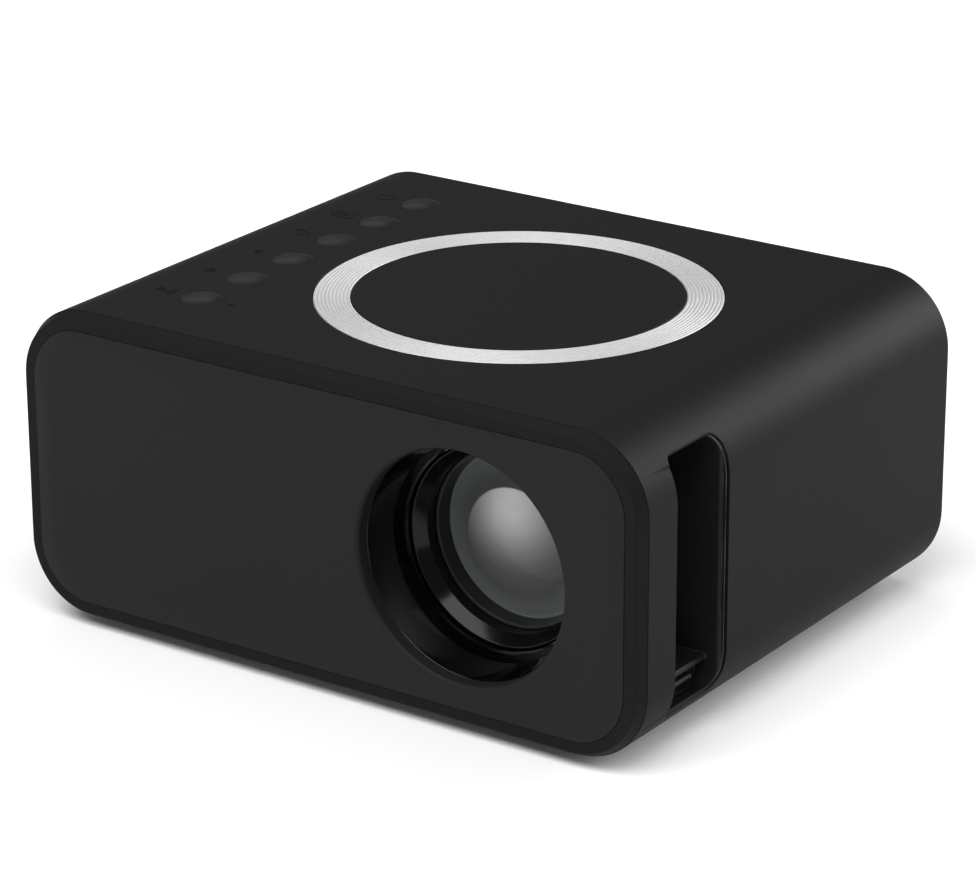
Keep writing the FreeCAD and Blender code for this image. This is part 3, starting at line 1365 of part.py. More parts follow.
def rear_lens_ring():
    """The ring that clamps the rear lens."""
    outer = f"({REAR_LENS} - RunningGap)"
    start = f"(BarrelFront + {BARREL_LENGTH} - RearLensDepth + RearLensThick)"
    body = turned("rear_lens_ring", "XY", (
        (f"{REAR_DOME} + RunningGap", "0"),
        (outer, "0"),
        (outer, "RearRingThick"),
        (f"{REAR_DOME} + RunningGap", "RearRingThick"),
    ), LENS_X, behind(start), LENS_Z)
    return keep(body, "rear_lens_ring")


# ---------------------------------------------------------------- light engine


def engine_plate(label, start, thick, extra=()):
    """A plate that fills the light engine's tunnel."""
    body = new_body(label, LENS_X, "0", LENS_Z)
    add(body, "XZ", behind(f"{ENGINE_FRONT} + {start}"), [engine_outline("EngineWall"), *extra], thick)
    return keep(body, label)


def engine_housing():
    """The black box between the lens holder and the LED."""
    body = new_body("engine_housing", LENS_X, "0", LENS_Z)
    front = behind(ENGINE_FRONT)
    add(body, "XZ", front, [engine_outline("0")], "EngineLength")
    remove(body, "XZ", f"{front} + EngineWall", [engine_outline("EngineWall")], "EngineLength - EngineWall")
    holes = circles(four_places("0", HOLDER_SCREW_X, "0", HOLDER_SCREW_Z), "ScrewRadius + ScrewGap")
    holes.append(circle("0", "0", f"{BARREL} + EngineMouthGap"))
    remove(body, "XZ", front, holes, "EngineWall")
    return keep(body, "engine_housing")


def condenser_lens():
    """The domed lens in front of the LED."""
    outer = "(CondenserRadius - RunningGap)"
    body = turned("condenser_lens", "XY", (
        ("0", "0"),
        (outer, "0"),
        (outer, "CondenserEdge"),
        arc_to("0", "CondenserEdge + CondenserBulge", dome_radius(outer, "CondenserBulge"), -1),
    ), LENS_X, behind(f"{ENGINE_FRONT} + CondenserBack + CondenserEdge"), LENS_Z, facing_front=True)
    return keep(body, "condenser_lens")


def led_module():
    """The LED on its board, which closes the housing's rear end."""
    body = new_body("led_module", LENS_X, "0", LENS_Z)
    start = behind(ENGINE_BACK)
    add(body, "XZ", start, [engine_outline("0")], "LedBoard")
    add(body, "XZ", f"{start} - LedHeight", [circle("0", "0", "LedRadius")], "LedHeight")
    return keep(body, "led_module")


def heat_sink():
    """Upright fins that reach back to the fan."""
    body = new_body("heat_sink", LENS_X, "0", LENS_Z)
    start = behind(f"{ENGINE_BACK} + LedBoard")
    length = f"({behind(FAN_FRONT)} - {start})"
    add(body, "XZ", start, [engine_outline("0")], length)
    gaps = []
    for index in range(int(number("FinCount"))):
        middle = f"(({index} - (FinCount - 1) / 2) * FinPitch)"
        gaps.append(rectangle(f"{middle} - FinGap / 2", f"{middle} + FinGap / 2",
                              f"0 - {ENGINE_HEIGHT} / 2", f"{ENGINE_HEIGHT} / 2"))
    remove(body, "XZ", f"{start} + SinkBase", gaps, f"{length} - SinkBase")
    return keep(body, "heat_sink")


# ---------------------------------------------------------------- fan


def fan_frame():
    """A square frame with a round bore; arms at the rear hold the motor's base."""
    body = new_body("fan_frame", LENS_X, behind(FAN_FRONT), LENS_Z)
    half = "FanSize / 2"
    square = rounded(f"0 - {half}", half, f"0 - {half}", half, "FanRound")
    add(body, "XZ", "0", [square, circle("0", "0", "FanBore")], "FanDepth")
    base = "(FanDepth - FanBase)"
    add(body, "XZ", base, [circle("0", "0", "FanHub")], "FanBase")
    for side in ("across", "up"):
        wide, tall = ("FanBore + FanRound / 4", "FanArm / 2")
        if side == "up":
            wide, tall = tall, wide
        add(body, "XZ", base, [rectangle(f"0 - ({wide})", wide, f"0 - ({tall})", tall)], "FanBase")
    front = "(FanFrontGap + FanHubWall + FanBaseGap)"
    add(body, "XZ", front, [circle("0", "0", "FanBearing")], f"{base} - {front}")
    remove(body, "XZ", front, [circle("0", "0", "FanShaft + RunningGap")], f"FanDepth - {front}")
    remove(body, "XZ", "0", circles(four_places("0", "FanHoles / 2", "0", "FanHoles / 2"),
                                    "ScrewRadius + ScrewGap"), "FanDepth")
    return keep(body, "fan_frame")


def fan_rotor():
    """The hub, its shaft and seven slanted blades."""
    length = "(FanDepth - FanBase - FanBaseGap - FanFrontGap)"
    body = turned("fan_rotor", "XY", (
        ("0", "0"),
        ("FanHub", "0"),
        ("FanHub", length),
        ("FanHub - FanHubWall", length),
        ("FanHub - FanHubWall", "FanHubWall"),
        ("FanShaft", "FanHubWall"),
        ("FanShaft", f"{length} + FanBaseGap + FanBase / 2"),
        ("0", f"{length} + FanBaseGap + FanBase / 2"),
    ), LENS_X, behind(f"{FAN_FRONT} + FanFrontGap"), LENS_Z)
    skew = "BladeSkew"
    thick = "BladeThick"
    blade_outline = polygon(
        ("0", f"0 - {skew} - {thick}"),
        ("0", f"0 - {skew}"),
        (length, skew),
        (length, f"{skew} - {thick}"),
    )
    root = "(FanHub - FanHubWall / 2)"
    tip = f"sqrt((FanBore - FanTipGap) ^ 2 - ({skew} + {thick}) ^ 2)"
    blade = add(body, "YZ", root, [blade_outline], f"{tip} - {root}")
    turn_round(body, blade, "BladeCount")
    return keep(body, "fan_rotor")


# ---------------------------------------------------------------- build

outer_sleeve()
front_frame()
front_panel()
lens_hood()
top_ring()
slot_liner()
rear_panel()
chassis_tray()
rubber_feet()
tripod_bush()
for step, title in enumerate(BUTTON_NAMES):
    button(step, title)
button_board()
tact_switches()
main_board()
shell_socket("hdmi_socket", "Hdmi")
shell_socket("usb_socket", "Usb")
shell_socket("power_socket", "Power")
audio_socket()
main_chip()
chip_cooler()
capacitors()
key_ribbon()
speaker()
lens_holder()
focus_wheel()
lens_barrel()
front_lens_ring()
front_lens()
rear_lens()
rear_lens_ring()
engine_housing()
engine_plate("front_fresnel", "FrontFresnelBack", "FresnelThick")
engine_plate("lcd_panel", "PanelBack", "PanelGlass")
engine_plate("rear_fresnel", "RearFresnelBack", "FresnelThick")
engine_plate("condenser_holder", "CondenserBack", "CondenserHolder", [circle("0", "0", "CondenserRadius")])
condenser_lens()
led_module()
heat_sink()
fan_frame()
fan_rotor()
screw_group("base_screws", BASE_SCREW_PLACES, "z", UNDERSIDE_Z, "BaseScrewLength", 1)
screw_group("board_screws", BOARD_HOLE_PLACES, "z", f"({MAIN_BOARD_TOP} + ScrewHead)",
            "(BoardThick + BoardScrewLength)", -1)
screw_group("button_board_screws", KEY_POST_PLACES, "z", f"({KEY_BOARD_TOP} - BoardThick - ScrewHead)",
            "(BoardThick + BoardScrewLength)", 1)
screw_group("rear_screws", REAR_SCREW_PLACES, "y", behind(REAR_OUTER), "RearScrewLength", -1)
screw_group("fan_screws", FAN_SCREW_PLACES, "y", behind(REAR_OUTER), "FanScrewLength", -1)
screw_group("holder_screws", four_places(LENS_X, HOLDER_SCREW_X, LENS_Z, HOLDER_SCREW_Z), "y",
            behind(f"{ENGINE_FRONT} - HolderFlange - ScrewHead"), "(HolderFlange + EngineWall)", 1)

# ---------------------------------------------------------------- check and write

doc.recompute()
for thing in doc.Objects:
    if "Invalid" in thing.State or "Error" in thing.State:
        raise RuntimeError(f"{thing.Name} of {thing.Label} did not build: {thing.State}")
for node in nodes:
    if node.Shape.isNull() or not node.Shape.isValid():
        raise RuntimeError(f"{node.Label} has no valid shape")

os.makedirs("parts", exist_ok=True)
for node in nodes:
    node.Shape.exportStep(f"parts/{node.Label}.step")
    print(f"{node.Label}: {len(node.Shape.Solids)} solid(s), {node.Shape.Volume:.1f} mm3")
print(len(nodes), "sub-parts")
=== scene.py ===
# %% [markdown]
# # A small video projector
#
# This lesson dresses a small black projector. Its construction, the boards, screws, lenses and
# joints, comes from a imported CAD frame. Blender gives it smooth outer shapes, fine edges and finishes.
# Each visible CAD solid that needs a finer shape is replaced by a mesh of nearly the same size.

# %% Load the frame
import math
import bmesh
import bpy
from mathutils import Matrix, Vector


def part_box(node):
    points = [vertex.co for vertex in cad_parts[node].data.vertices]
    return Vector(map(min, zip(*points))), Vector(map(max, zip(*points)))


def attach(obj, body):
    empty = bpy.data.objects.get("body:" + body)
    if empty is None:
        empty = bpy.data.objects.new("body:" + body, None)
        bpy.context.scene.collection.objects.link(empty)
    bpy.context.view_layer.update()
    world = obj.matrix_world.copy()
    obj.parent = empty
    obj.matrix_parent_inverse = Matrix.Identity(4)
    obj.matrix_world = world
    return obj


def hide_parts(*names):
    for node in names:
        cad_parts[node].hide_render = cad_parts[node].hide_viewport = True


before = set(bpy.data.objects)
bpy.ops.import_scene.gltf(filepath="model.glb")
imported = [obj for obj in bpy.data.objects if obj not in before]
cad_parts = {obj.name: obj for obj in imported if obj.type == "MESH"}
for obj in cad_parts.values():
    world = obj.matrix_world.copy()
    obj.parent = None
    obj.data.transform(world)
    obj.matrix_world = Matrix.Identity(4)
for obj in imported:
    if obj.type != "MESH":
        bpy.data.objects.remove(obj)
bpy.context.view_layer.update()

# %% [markdown]
# ## A drawing board in millimetres
#
# A case like this is drawn from two edges: how far a thing lies behind the front edge of the tube, and
# how far above the underside. Drawing in those millimetres keeps the numbers readable. One matrix
# then brings every finished mesh into the frame's metres, so that its object can stay at the origin.

# %% Case coordinates
MM = 0.001
tube_low, tube_high = (Vector(corner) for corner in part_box("outer_sleeve"))
CASE = Matrix.Translation((0, tube_low.y, tube_low.z)) @ Matrix.Scale(MM, 4)
TO_CASE = CASE.inverted()
WIDTH, DEPTH, HEIGHT = (tube_high - tube_low) / MM
MIDDLE_Y = round(DEPTH / 2, 3)
CORNER = 12.5
WALL = 2.2


def case_box(node):
    """A node's two corners in case millimetres."""
    low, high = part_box(node)
    return TO_CASE @ Vector(low), TO_CASE @ Vector(high)


def middle(node):
    """The middle of a node's box in case millimetres."""
    low, high = case_box(node)
    return (low + high) / 2


LENS = middle("lens_hood")
RING = middle("top_ring")
print(f"case {WIDTH:.1f} x {DEPTH:.1f} x {HEIGHT:.1f} mm, lens axis at x {LENS.x:.2f}, z {LENS.z:.2f}")

# %% [markdown]
# ## Outlines and profiles
#
# Moulded parts have no sharp corners, because a mould can't fill them. So a profile is written as
# a few plain corners, and one helper rounds them. Each corner may ask for its own radius.


# %% Rounded outlines
def rounded(points, radius, steps=5):
    """A closed outline with its corners turned into arcs; a point may end with its own radius."""
    result = []
    count = len(points)
    for index, point in enumerate(points):
        here = Vector(point[:2])
        want = point[2] if len(point) > 2 else radius
        before = Vector(points[index - 1][:2]) - here
        after = Vector(points[(index + 1) % count][:2]) - here
        turn = before.angle(after)
        if want <= 0 or turn > math.pi - 0.01:
            result.append(here)
            continue
        reach = min(want / math.tan(turn / 2), 0.49 * before.length, 0.49 * after.length)
        size = reach * math.tan(turn / 2)
        bisector = (before.normalized() + after.normalized()).normalized()
        centre = here + bisector * (size / math.sin(turn / 2))
        first = here + before.normalized() * reach - centre
        last = here + after.normalized() * reach - centre
        sweep = first.angle_signed(last)
        start = math.atan2(first.y, first.x)
        for step in range(steps + 1):
            angle = start - sweep * step / steps
            result.append(centre + size * Vector((math.cos(angle), math.sin(angle))))
    return result


def box_outline(low, high, radii, steps=20):
    """A rectangle whose four corners have their own radii, from the lower left and anticlockwise."""
    corners = [(low[0], low[1]), (high[0], low[1]), (high[0], high[1]), (low[0], high[1])]
    return rounded([(*corner, radius) for corner, radius in zip(corners, radii)], 0, steps)


def case_outline(inset, steps=20):
    """The tube's outline in (x, z), moved inwards."""
    low = (inset - WIDTH / 2, inset)
    high = (WIDTH / 2 - inset, HEIGHT - inset)
    return box_outline(low, high, [CORNER - inset] * 4, steps)


print("points round the case:", len(case_outline(0)))

# %% [markdown]
# ## From outlines to meshes
#
# Three ways of making a solid cover nearly all of this product. A loft joins outlines with equal
# numbers of points. A lathe turns a profile about an axis. A prism pushes an outline along a line.


# %% Lofts, lathes and prisms
def loft(bm, loops, closed=False, caps=False):
    """Faces between neighbouring loops of points."""
    rows = [[bm.verts.new(point) for point in loop] for loop in loops]
    pairs = list(zip(rows, rows[1:])) + ([(rows[-1], rows[0])] if closed else [])
    for row, following in pairs:
        for index in range(len(row)):
            last = index - 1
            bm.faces.new((row[last], row[index], following[index], following[last]))
    if caps:
        bm.faces.new(rows[0])
        bm.faces.new(rows[-1])
    return bm


def turned(profile, centre, axis="Y", segments=144, closed=True):
    """A profile of (radius, along) turned about an axis, Y or Z, through centre."""
    loops = []
    for radius, along in profile:
        loop = []
        for index in range(segments):
            angle = 2 * math.pi * index / segments
            across, up = radius * math.cos(angle), radius * math.sin(angle)
            if axis == "Y":
                loop.append(Vector((centre.x + across, along, centre.z + up)))
            else:
                loop.append(Vector((centre.x + across, centre.y + up, along)))
        loops.append(loop)
    return loft(bmesh.new(), loops, closed=closed)


def prism(outline, axis, start, end):
    """An outline pushed along an axis: (x, z) along Y, (y, z) along X, (x, y) along Z."""
    place = {
        "X": lambda p, along: Vector((along, p[0], p[1])),
        "Y": lambda p, along: Vector((p[0], along, p[1])),
        "Z": lambda p, along: Vector((p[0], p[1], along)),
    }[axis]
    loops = [[place(point, along) for point in outline] for along in (start, end)]
    return loft(bmesh.new(), loops, caps=True)


def swept(profile, closed=True):
    """A profile of (inset, behind) carried round the case's outline; an open one makes a plate."""
    loops = [[Vector((x, behind, z)) for x, z in case_outline(inset)] for inset, behind in profile]
    return loft(bmesh.new(), loops, closed=closed, caps=not closed)


def quarter(size, steps):
    """The steps of a quarter circle, as (inwards, short of the surface)."""
    angles = [math.pi / 2 * step / steps for step in range(1, steps + 1)]
    return [(size * (1 - math.cos(angle)), size * (1 - math.sin(angle))) for angle in angles]


def merged(*drawings):
    """Several drawings as one."""
    first = drawings[0]
    for other in drawings[1:]:
        mesh = bpy.data.meshes.new("part")
        other.to_mesh(mesh)
        other.free()
        first.from_mesh(mesh)
        bpy.data.meshes.remove(mesh)
    return first


def drawing_of(made):
    """Turn an object back into a drawing."""
    drawing = bmesh.new()
    drawing.from_mesh(made.data)
    bpy.data.objects.remove(made)
    return drawing


# %% [markdown]
# ## Finishing a piece
#
# A finished piece has its points merged, its faces pointing outwards, soft shading except across sharp
# edges, and normals weighted by face size so that flat faces stay flat beside their rounded edges.
# Holes are cut with the Boolean modifier. The Bevel modifier breaks the edges of the screws and ribs.


# %% Finish, cut and register
def place_in_scene(made):
    """Put a new object in the scene."""
    bpy.context.scene.collection.objects.link(made)
    return made


def as_object(name, bm):
    """An object that holds a drawing, still in case millimetres."""
    bmesh.ops.remove_doubles(bm, verts=bm.verts, dist=1e-4)
    bmesh.ops.recalc_face_normals(bm, faces=bm.faces)
    mesh = bpy.data.meshes.new(name)
    bm.to_mesh(mesh)
    bm.free()
    return place_in_scene(bpy.data.objects.new(name, mesh))


def apply_modifiers(made):
    """Turn the evaluated object into a plain mesh and drop its modifiers."""
    depsgraph = bpy.context.evaluated_depsgraph_get()
    evaluated = made.evaluated_get(depsgraph)
    mesh = bpy.data.meshes.new_from_object(evaluated)
    old = made.data
    made.modifiers.clear()
    made.data = mesh
    mesh.name = made.name
    bpy.data.meshes.remove(old)


def combine(made, tool_drawing, operation="DIFFERENCE"):
    """Cut a drawing out of an object, or join it on."""
    tool = as_object("tool", tool_drawing)
    boolean = made.modifiers.new("combine", "BOOLEAN")
    boolean.operation = operation
    boolean.solver = "EXACT"
    boolean.object = tool
    apply_modifiers(made)
    bpy.data.objects.remove(tool)


def break_edges(made, width, angle):
    """A small bevel on every edge sharper than an angle."""
    bevel = made.modifiers.new("edges", "BEVEL")
    bevel.width = width
    bevel.segments = 2
    bevel.limit_method = "ANGLE"
    bevel.angle_limit = math.radians(angle)
    bevel.use_clamp_overlap = False
    apply_modifiers(made)


def register(made, material, body, stands_for=(), sharp=35):
    """Bring a piece into the frame, shade it and hang it on its body."""
    made.data.transform(CASE)
    made.data.shade_smooth()
    made.data.set_sharp_from_angle(angle=math.radians(sharp))
    weighted = made.modifiers.new("normals", "WEIGHTED_NORMAL")
    weighted.keep_sharp = True
    weighted.weight = 80
    apply_modifiers(made)
    made.data.materials.clear()
    made.data.materials.append(material)
    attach(made, body)
    if stands_for:
        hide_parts(*stands_for)
    triangles = sum(len(face.vertices) - 2 for face in made.data.polygons)
    print(f"{made.name}: {triangles} triangles, on {body}")


def piece(name, bm, material, body, stands_for=()):
    """A drawing finished in one go."""
    register(as_object(name, bm), material, body, stands_for)


# %% [markdown]
# ## Node trees in a few words
#
# Shader and geometry trees are wired by a few small helpers. `node` adds a node, and `wire` gives one of
# its outputs. Wires can be added and multiplied like numbers, and each sign adds one Math node.
# `node_group` makes a group with named inputs and outputs, for effects used more than once.


# %% Node helpers
class Wire:
    """A node's output that can be reckoned with; each sign adds one Math node."""

    def __init__(self, socket):
        self.socket = socket

    def __add__(self, other):
        return reckon("ADD", self, other)

    def __sub__(self, other):
        return reckon("SUBTRACT", self, other)

    def __rsub__(self, other):
        return reckon("SUBTRACT", other, self)

    def __mul__(self, other):
        return reckon("MULTIPLY", self, other)

    def __truediv__(self, other):
        return reckon("DIVIDE", self, other)

    def __rtruediv__(self, other):
        return reckon("DIVIDE", other, self)

    def __pow__(self, power):
        return reckon("POWER", self, power)

    __radd__ = __add__
    __rmul__ = __mul__


def feed(made, inputs):
    """Fill a node's inputs: a wire is linked, anything else is typed in."""
    for key, value in inputs.items():
        if isinstance(value, Wire):
            made.id_data.links.new(value.socket, made.inputs[key])
        else:
            made.inputs[key].default_value = value


def node(tree, kind, inputs=None, **options):
    """Add a node, set its options and fill its inputs."""
    made = tree.nodes.new(kind)
    for option, value in options.items():
        setattr(made, option, value)
    feed(made, inputs or {})
    return made


def wire(tree, kind, inputs=None, output=0, **options):
    """Add a node and give one of its outputs."""
    return Wire(node(tree, kind, inputs, **options).outputs[output])


def wires(sockets):
    """All the outputs of a node by name."""
    return {socket.name: Wire(socket) for socket in sockets}


def reckon(operation, *values, clamp=False):
    """One step of arithmetic on wires and numbers."""
    tree = next(value.socket.id_data for value in values if isinstance(value, Wire))
    return wire(tree, "ShaderNodeMath", dict(enumerate(values)), operation=operation, use_clamp=clamp)


def between(value, low, high, smooth=True):
    """0 below low, 1 above high, soft in between."""
    inputs = {"Value": value, "From Min": low, "From Max": high}
    kind = "SMOOTHSTEP" if smooth else "LINEAR"
    return wire(value.socket.id_data, "ShaderNodeMapRange", inputs, interpolation_type=kind)


def blend_colour(share, first, second):
    """Mix two colours."""
    return wire(share.socket.id_data, "ShaderNodeMix", {0: share, 6: first, 7: second}, 2, data_type="RGBA")


def vector_step(tree, operation, *values, output=0):
    """One step of vector arithmetic."""
    return wire(tree, "ShaderNodeVectorMath", dict(enumerate(values)), output, operation=operation)


def scaled(tree, colour, share):
    """A colour made lighter or darker."""
    return wire(tree, "ShaderNodeVectorMath", {0: colour, "Scale": share}, operation="SCALE")


def object_place(tree):
    """The point being shaded, in the object's own metres."""
    return wire(tree, "ShaderNodeTexCoord", output="Object")


def noise(tree, place, scale, detail, roughness=0.5):
    """Soft noise from 0 to 1."""
    inputs = {"Vector": place, "Scale": scale, "Detail": detail, "Roughness": roughness}
    return wire(tree, "ShaderNodeTexNoise", inputs)


def bump(tree, height, distance, invert=False):
    """A normal tilted by a height from 0 to 1."""
    return wire(tree, "ShaderNodeBump", {"Height": height, "Distance": distance}, invert=invert)


def node_group(name, kind, inputs, outputs):
    """A group with named sockets; returns the tree, its inputs by name and its output node."""
    tree = bpy.data.node_groups.new(name, kind)
    for label, socket, value in inputs:
        made = tree.interface.new_socket(label, in_out="INPUT", socket_type=socket)
        if value is not None:
            made.default_value = value
    for label, socket in outputs:
        tree.interface.new_socket(label, in_out="OUTPUT", socket_type=socket)
    entry = tree.nodes.new("NodeGroupInput")
    print("group", name)
    return tree, wires(entry.outputs), tree.nodes.new("NodeGroupOutput")


FLOAT, VECTOR, COLOUR = "NodeSocketFloat", "NodeSocketVector", "NodeSocketColor"
GEOMETRY, MATERIAL, WHOLE = "NodeSocketGeometry", "NodeSocketMaterial", "NodeSocketInt"

# %% [markdown]
# ## Shared effects: moulded skin
#
# A black moulded case is never one flat black. The mould leaves a fine grain, so the surface scatters
# light in tiny patches. Handling leaves wide areas slightly smoother than others. Both
# could be painted maps, but noise in object coordinates has the right scale everywhere and needs no map.
# The group gives out a tinted colour, a roughness and a normal, and the material keeps the shader.

# %% Group: moulded skin
skin, given, leave = node_group(
    "moulded_skin", "ShaderNodeTree",
    [("Colour", COLOUR, (0.02, 0.02, 0.02, 1)), ("Roughness", FLOAT, 0.45),
     ("Grain Size", FLOAT, 0.35), ("Grain Depth", FLOAT, 0.02), ("Patches", FLOAT, 0.5)],
    [("Colour", COLOUR), ("Roughness", FLOAT), ("Normal", VECTOR)],
)
place = object_place(skin)
grain = noise(skin, place, 1 / MM / given["Grain Size"], 2.0)
drift = (noise(skin, place, 38.0, 3.0, 0.6) - 0.5) * given["Patches"]
tint = 1.0 + (drift * 0.35 + (grain - 0.5) * 0.25)
feed(leave, {
    "Colour": scaled(skin, given["Colour"], tint),
    "Roughness": given["Roughness"] + drift * 0.16,
    "Normal": bump(skin, grain, given["Grain Depth"] * MM),
})

# %% [markdown]
# ## Shared effects: worn edges and painted edge highlights
#
# Corners of black plastic and metal are touched more than flats, so they turn paler and smoother. The
# rounded normal of the Bevel node differs from the true normal only near an edge. Their dot product
# marks edges without a fine mesh, and noise breaks the mark up. Where a material gives a much paler
# edge colour, the same mark also paints a highlight along its edges.

# %% Group: worn edges and painted edge highlights
edges, given, leave = node_group(
    "rubbed_edges", "ShaderNodeTree", [("Width", FLOAT, 0.25), ("Amount", FLOAT, 0.5)], [("Mask", FLOAT)],
)
rounded_normal = wire(edges, "ShaderNodeBevel", {"Radius": given["Width"] * MM}, samples=4)
true_normal = wire(edges, "ShaderNodeNewGeometry", output="Normal")
alike = vector_step(edges, "DOT_PRODUCT", rounded_normal, true_normal, output="Value")
edge = between(1.0 - alike, 0.02, 0.22)
broken = between(noise(edges, object_place(edges), 160.0, 4.0), 0.3, 0.7)
feed(leave, {"Mask": reckon("MULTIPLY", edge * broken, given["Amount"], clamp=True)})

# %% [markdown]
# ## Shared effects: turned metal and dust
#
# A part turned on a lathe carries fine circles about its axis. One-dimensional noise along the
# distance from the axis draws them, and a bump makes them catch light. Dust is a sparse
# set of pale dots, and it lies mostly where a surface faces up.

# %% Groups: lathe marks and dust
lathe, given, leave = node_group(
    "lathe_marks", "ShaderNodeTree",
    [("Centre", VECTOR, (0, 0, 0)), ("Axis", VECTOR, (0, 0, 1)),
     ("Pitch", FLOAT, 0.08), ("Depth", FLOAT, 0.01)],
    [("Normal", VECTOR), ("Mask", FLOAT)],
)
away = vector_step(lathe, "SUBTRACT", object_place(lathe), given["Centre"])
swing = vector_step(lathe, "CROSS_PRODUCT", away, given["Axis"])
radius = vector_step(lathe, "LENGTH", swing, output="Value")
turns = radius / MM / given["Pitch"]
lines = wire(lathe, "ShaderNodeTexNoise", {"W": turns, "Scale": 1.0, "Detail": 2.0}, noise_dimensions="1D")
feed(leave, {"Normal": bump(lathe, lines, given["Depth"] * MM), "Mask": lines})

dust, given, leave = node_group("settled_dust", "ShaderNodeTree", [("Amount", FLOAT, 0.3)], [("Mask", FLOAT)])
place = object_place(dust)
dots = wire(dust, "ShaderNodeTexVoronoi", {"Vector": place, "Scale": 420.0, "Randomness": 1.0})
normal = wire(dust, "ShaderNodeNewGeometry", output="Normal")
upward = between(wire(dust, "ShaderNodeSeparateXYZ", {0: normal}, "Z"), 0.2, 0.9)
drifts = between(noise(dust, place, 30.0, 3.0), 0.5, 0.7)
feed(leave, {"Mask": (1.0 - between(dots, 0.03, 0.09)) * upward * drifts * given["Amount"]})

# %% [markdown]
# ## Finishes
#
# All the black parts are the same family of plastic, but each comes from its own mould: the case is
# satin, the front face a little paler, the lens recess glossy so that the lens looks deep. A
# function builds the family, so the differences stay easy to see as arguments.


# %% Plastics
def blank_material(name):
    """A material with a Principled shader wired to its output."""
    material = bpy.data.materials.new(name)
    material.use_nodes = True
    tree = material.node_tree
    tree.nodes.clear()
    shader = node(tree, "ShaderNodeBsdfPrincipled")
    node(tree, "ShaderNodeOutputMaterial", {"Surface": Wire(shader.outputs["BSDF"])})
    return material, tree, shader


def use_group(tree, group, inputs):
    """Place a shared group in a material and give its outputs by name."""
    return wires(node(tree, "ShaderNodeGroup", inputs, node_tree=group).outputs)


def grey(value, warm=0.0):
    """A neutral colour, a little warmer or cooler."""
    return (value * (1 + warm), value, value * (1 - warm), 1)


def plastic(name, colour, roughness, specular, grain=(0.35, 0.02), wear=0.3, specks=0.2, rubbed=None):
    """Moulded plastic: grain, patches, worn edges that can carry a painted highlight, and a little dust."""
    material, tree, shader = blank_material(name)
    surface = use_group(tree, skin, {
        "Colour": colour, "Roughness": roughness, "Grain Size": grain[0],
        "Grain Depth": grain[1], "Patches": 0.5,
    })
    worn = use_group(tree, edges, {"Width": 0.3, "Amount": wear})["Mask"]
    settled = use_group(tree, dust, {"Amount": specks})["Mask"]
    paler = tuple(min(channel * 2.2 + 0.004, 1) for channel in colour[:3]) + (1,)
    # Edges turn paler from wear; a much paler edge colour makes this a painted highlight.
    base = blend_colour(worn, surface["Colour"], rubbed or paler)
    feed(shader, {
        "Base Color": blend_colour(settled, base, grey(0.12, 0.04)),
        "Roughness": surface["Roughness"] - worn * 0.12,
        "Normal": surface["Normal"],
        "Specular IOR Level": specular,
    })
    return material


case_black = plastic("case_black", grey(0.0075), 0.52, 0.052, wear=0.25)
frame_black = plastic("frame_black", grey(0.0084), 0.50, 0.055, wear=1.0, rubbed=grey(0.017))
panel_black = plastic("panel_black", grey(0.0125), 0.50, 0.09, grain=(0.28, 0.015), wear=0.1)
# The well's pale edge colour is partly wear and partly a painted highlight along its edges.
well_black = plastic("well_black", grey(0.0095), 0.50, 0.13, wear=1.0, rubbed=grey(0.085))
recess_gloss = plastic("recess_gloss", grey(0.0009), 0.06, 0.55, grain=(0.8, 0.002), wear=0.0, specks=0.1)
# The barrel's pale edge colour is a painted highlight round its rim.
barrel_gloss = plastic("barrel_gloss", grey(0.0035), 0.13, 0.18, grain=(0.5, 0.003), wear=1.0, specks=0.0,
                       rubbed=grey(0.16))
# The clamp's pale edge colour is a painted highlight round the ring.
clamp_satin = plastic("clamp_satin", grey(0.016), 0.32, 0.30, grain=(0.5, 0.004), wear=0.7, rubbed=grey(0.07))
wheel_black = plastic("wheel_matt", grey(0.009), 0.55, 0.30, grain=(0.3, 0.03), wear=0.5)
button_black = plastic("button_black", grey(0.0075), 0.32, 0.095, grain=(0.25, 0.004), wear=0.0)
rear_black = plastic("rear_black", grey(0.0070), 0.50, 0.15, wear=0.3)
tray_black = plastic("tray_black", grey(0.020), 0.60, 0.30, grain=(0.5, 0.03))
fan_black = plastic("fan_satin", grey(0.010), 0.40, 0.40, grain=(0.4, 0.01))
socket_black = plastic("socket_black", grey(0.012), 0.50, 0.35, grain=(0.2, 0.01))
switch_black = plastic("switch_black", grey(0.018), 0.45, 0.35, grain=(0.15, 0.01))
speaker_black = plastic("speaker_paper", grey(0.022), 0.85, 0.20, grain=(0.6, 0.08), wear=0.0)
rubber = plastic("foot_rubber", grey(0.014, 0.03), 0.80, 0.25, grain=(0.22, 0.06), wear=0.5, specks=0.5)
ink = plastic("mark_ink", grey(0.0028), 0.58, 0.048, grain=(0.2, 0.004), wear=0.0, specks=0.0)
print("plastics:", [m.name for m in bpy.data.materials][:16])

# %% [markdown]
# ## Metals and boards
#
# The ring on top is pale satin metal whose ridges are real geometry, so its material adds only the
# finer lathe marks. Steel sockets get drawn streaks, the heat sink is extruded along one
# direction, and the boards show tracks and pads under green lacquer.


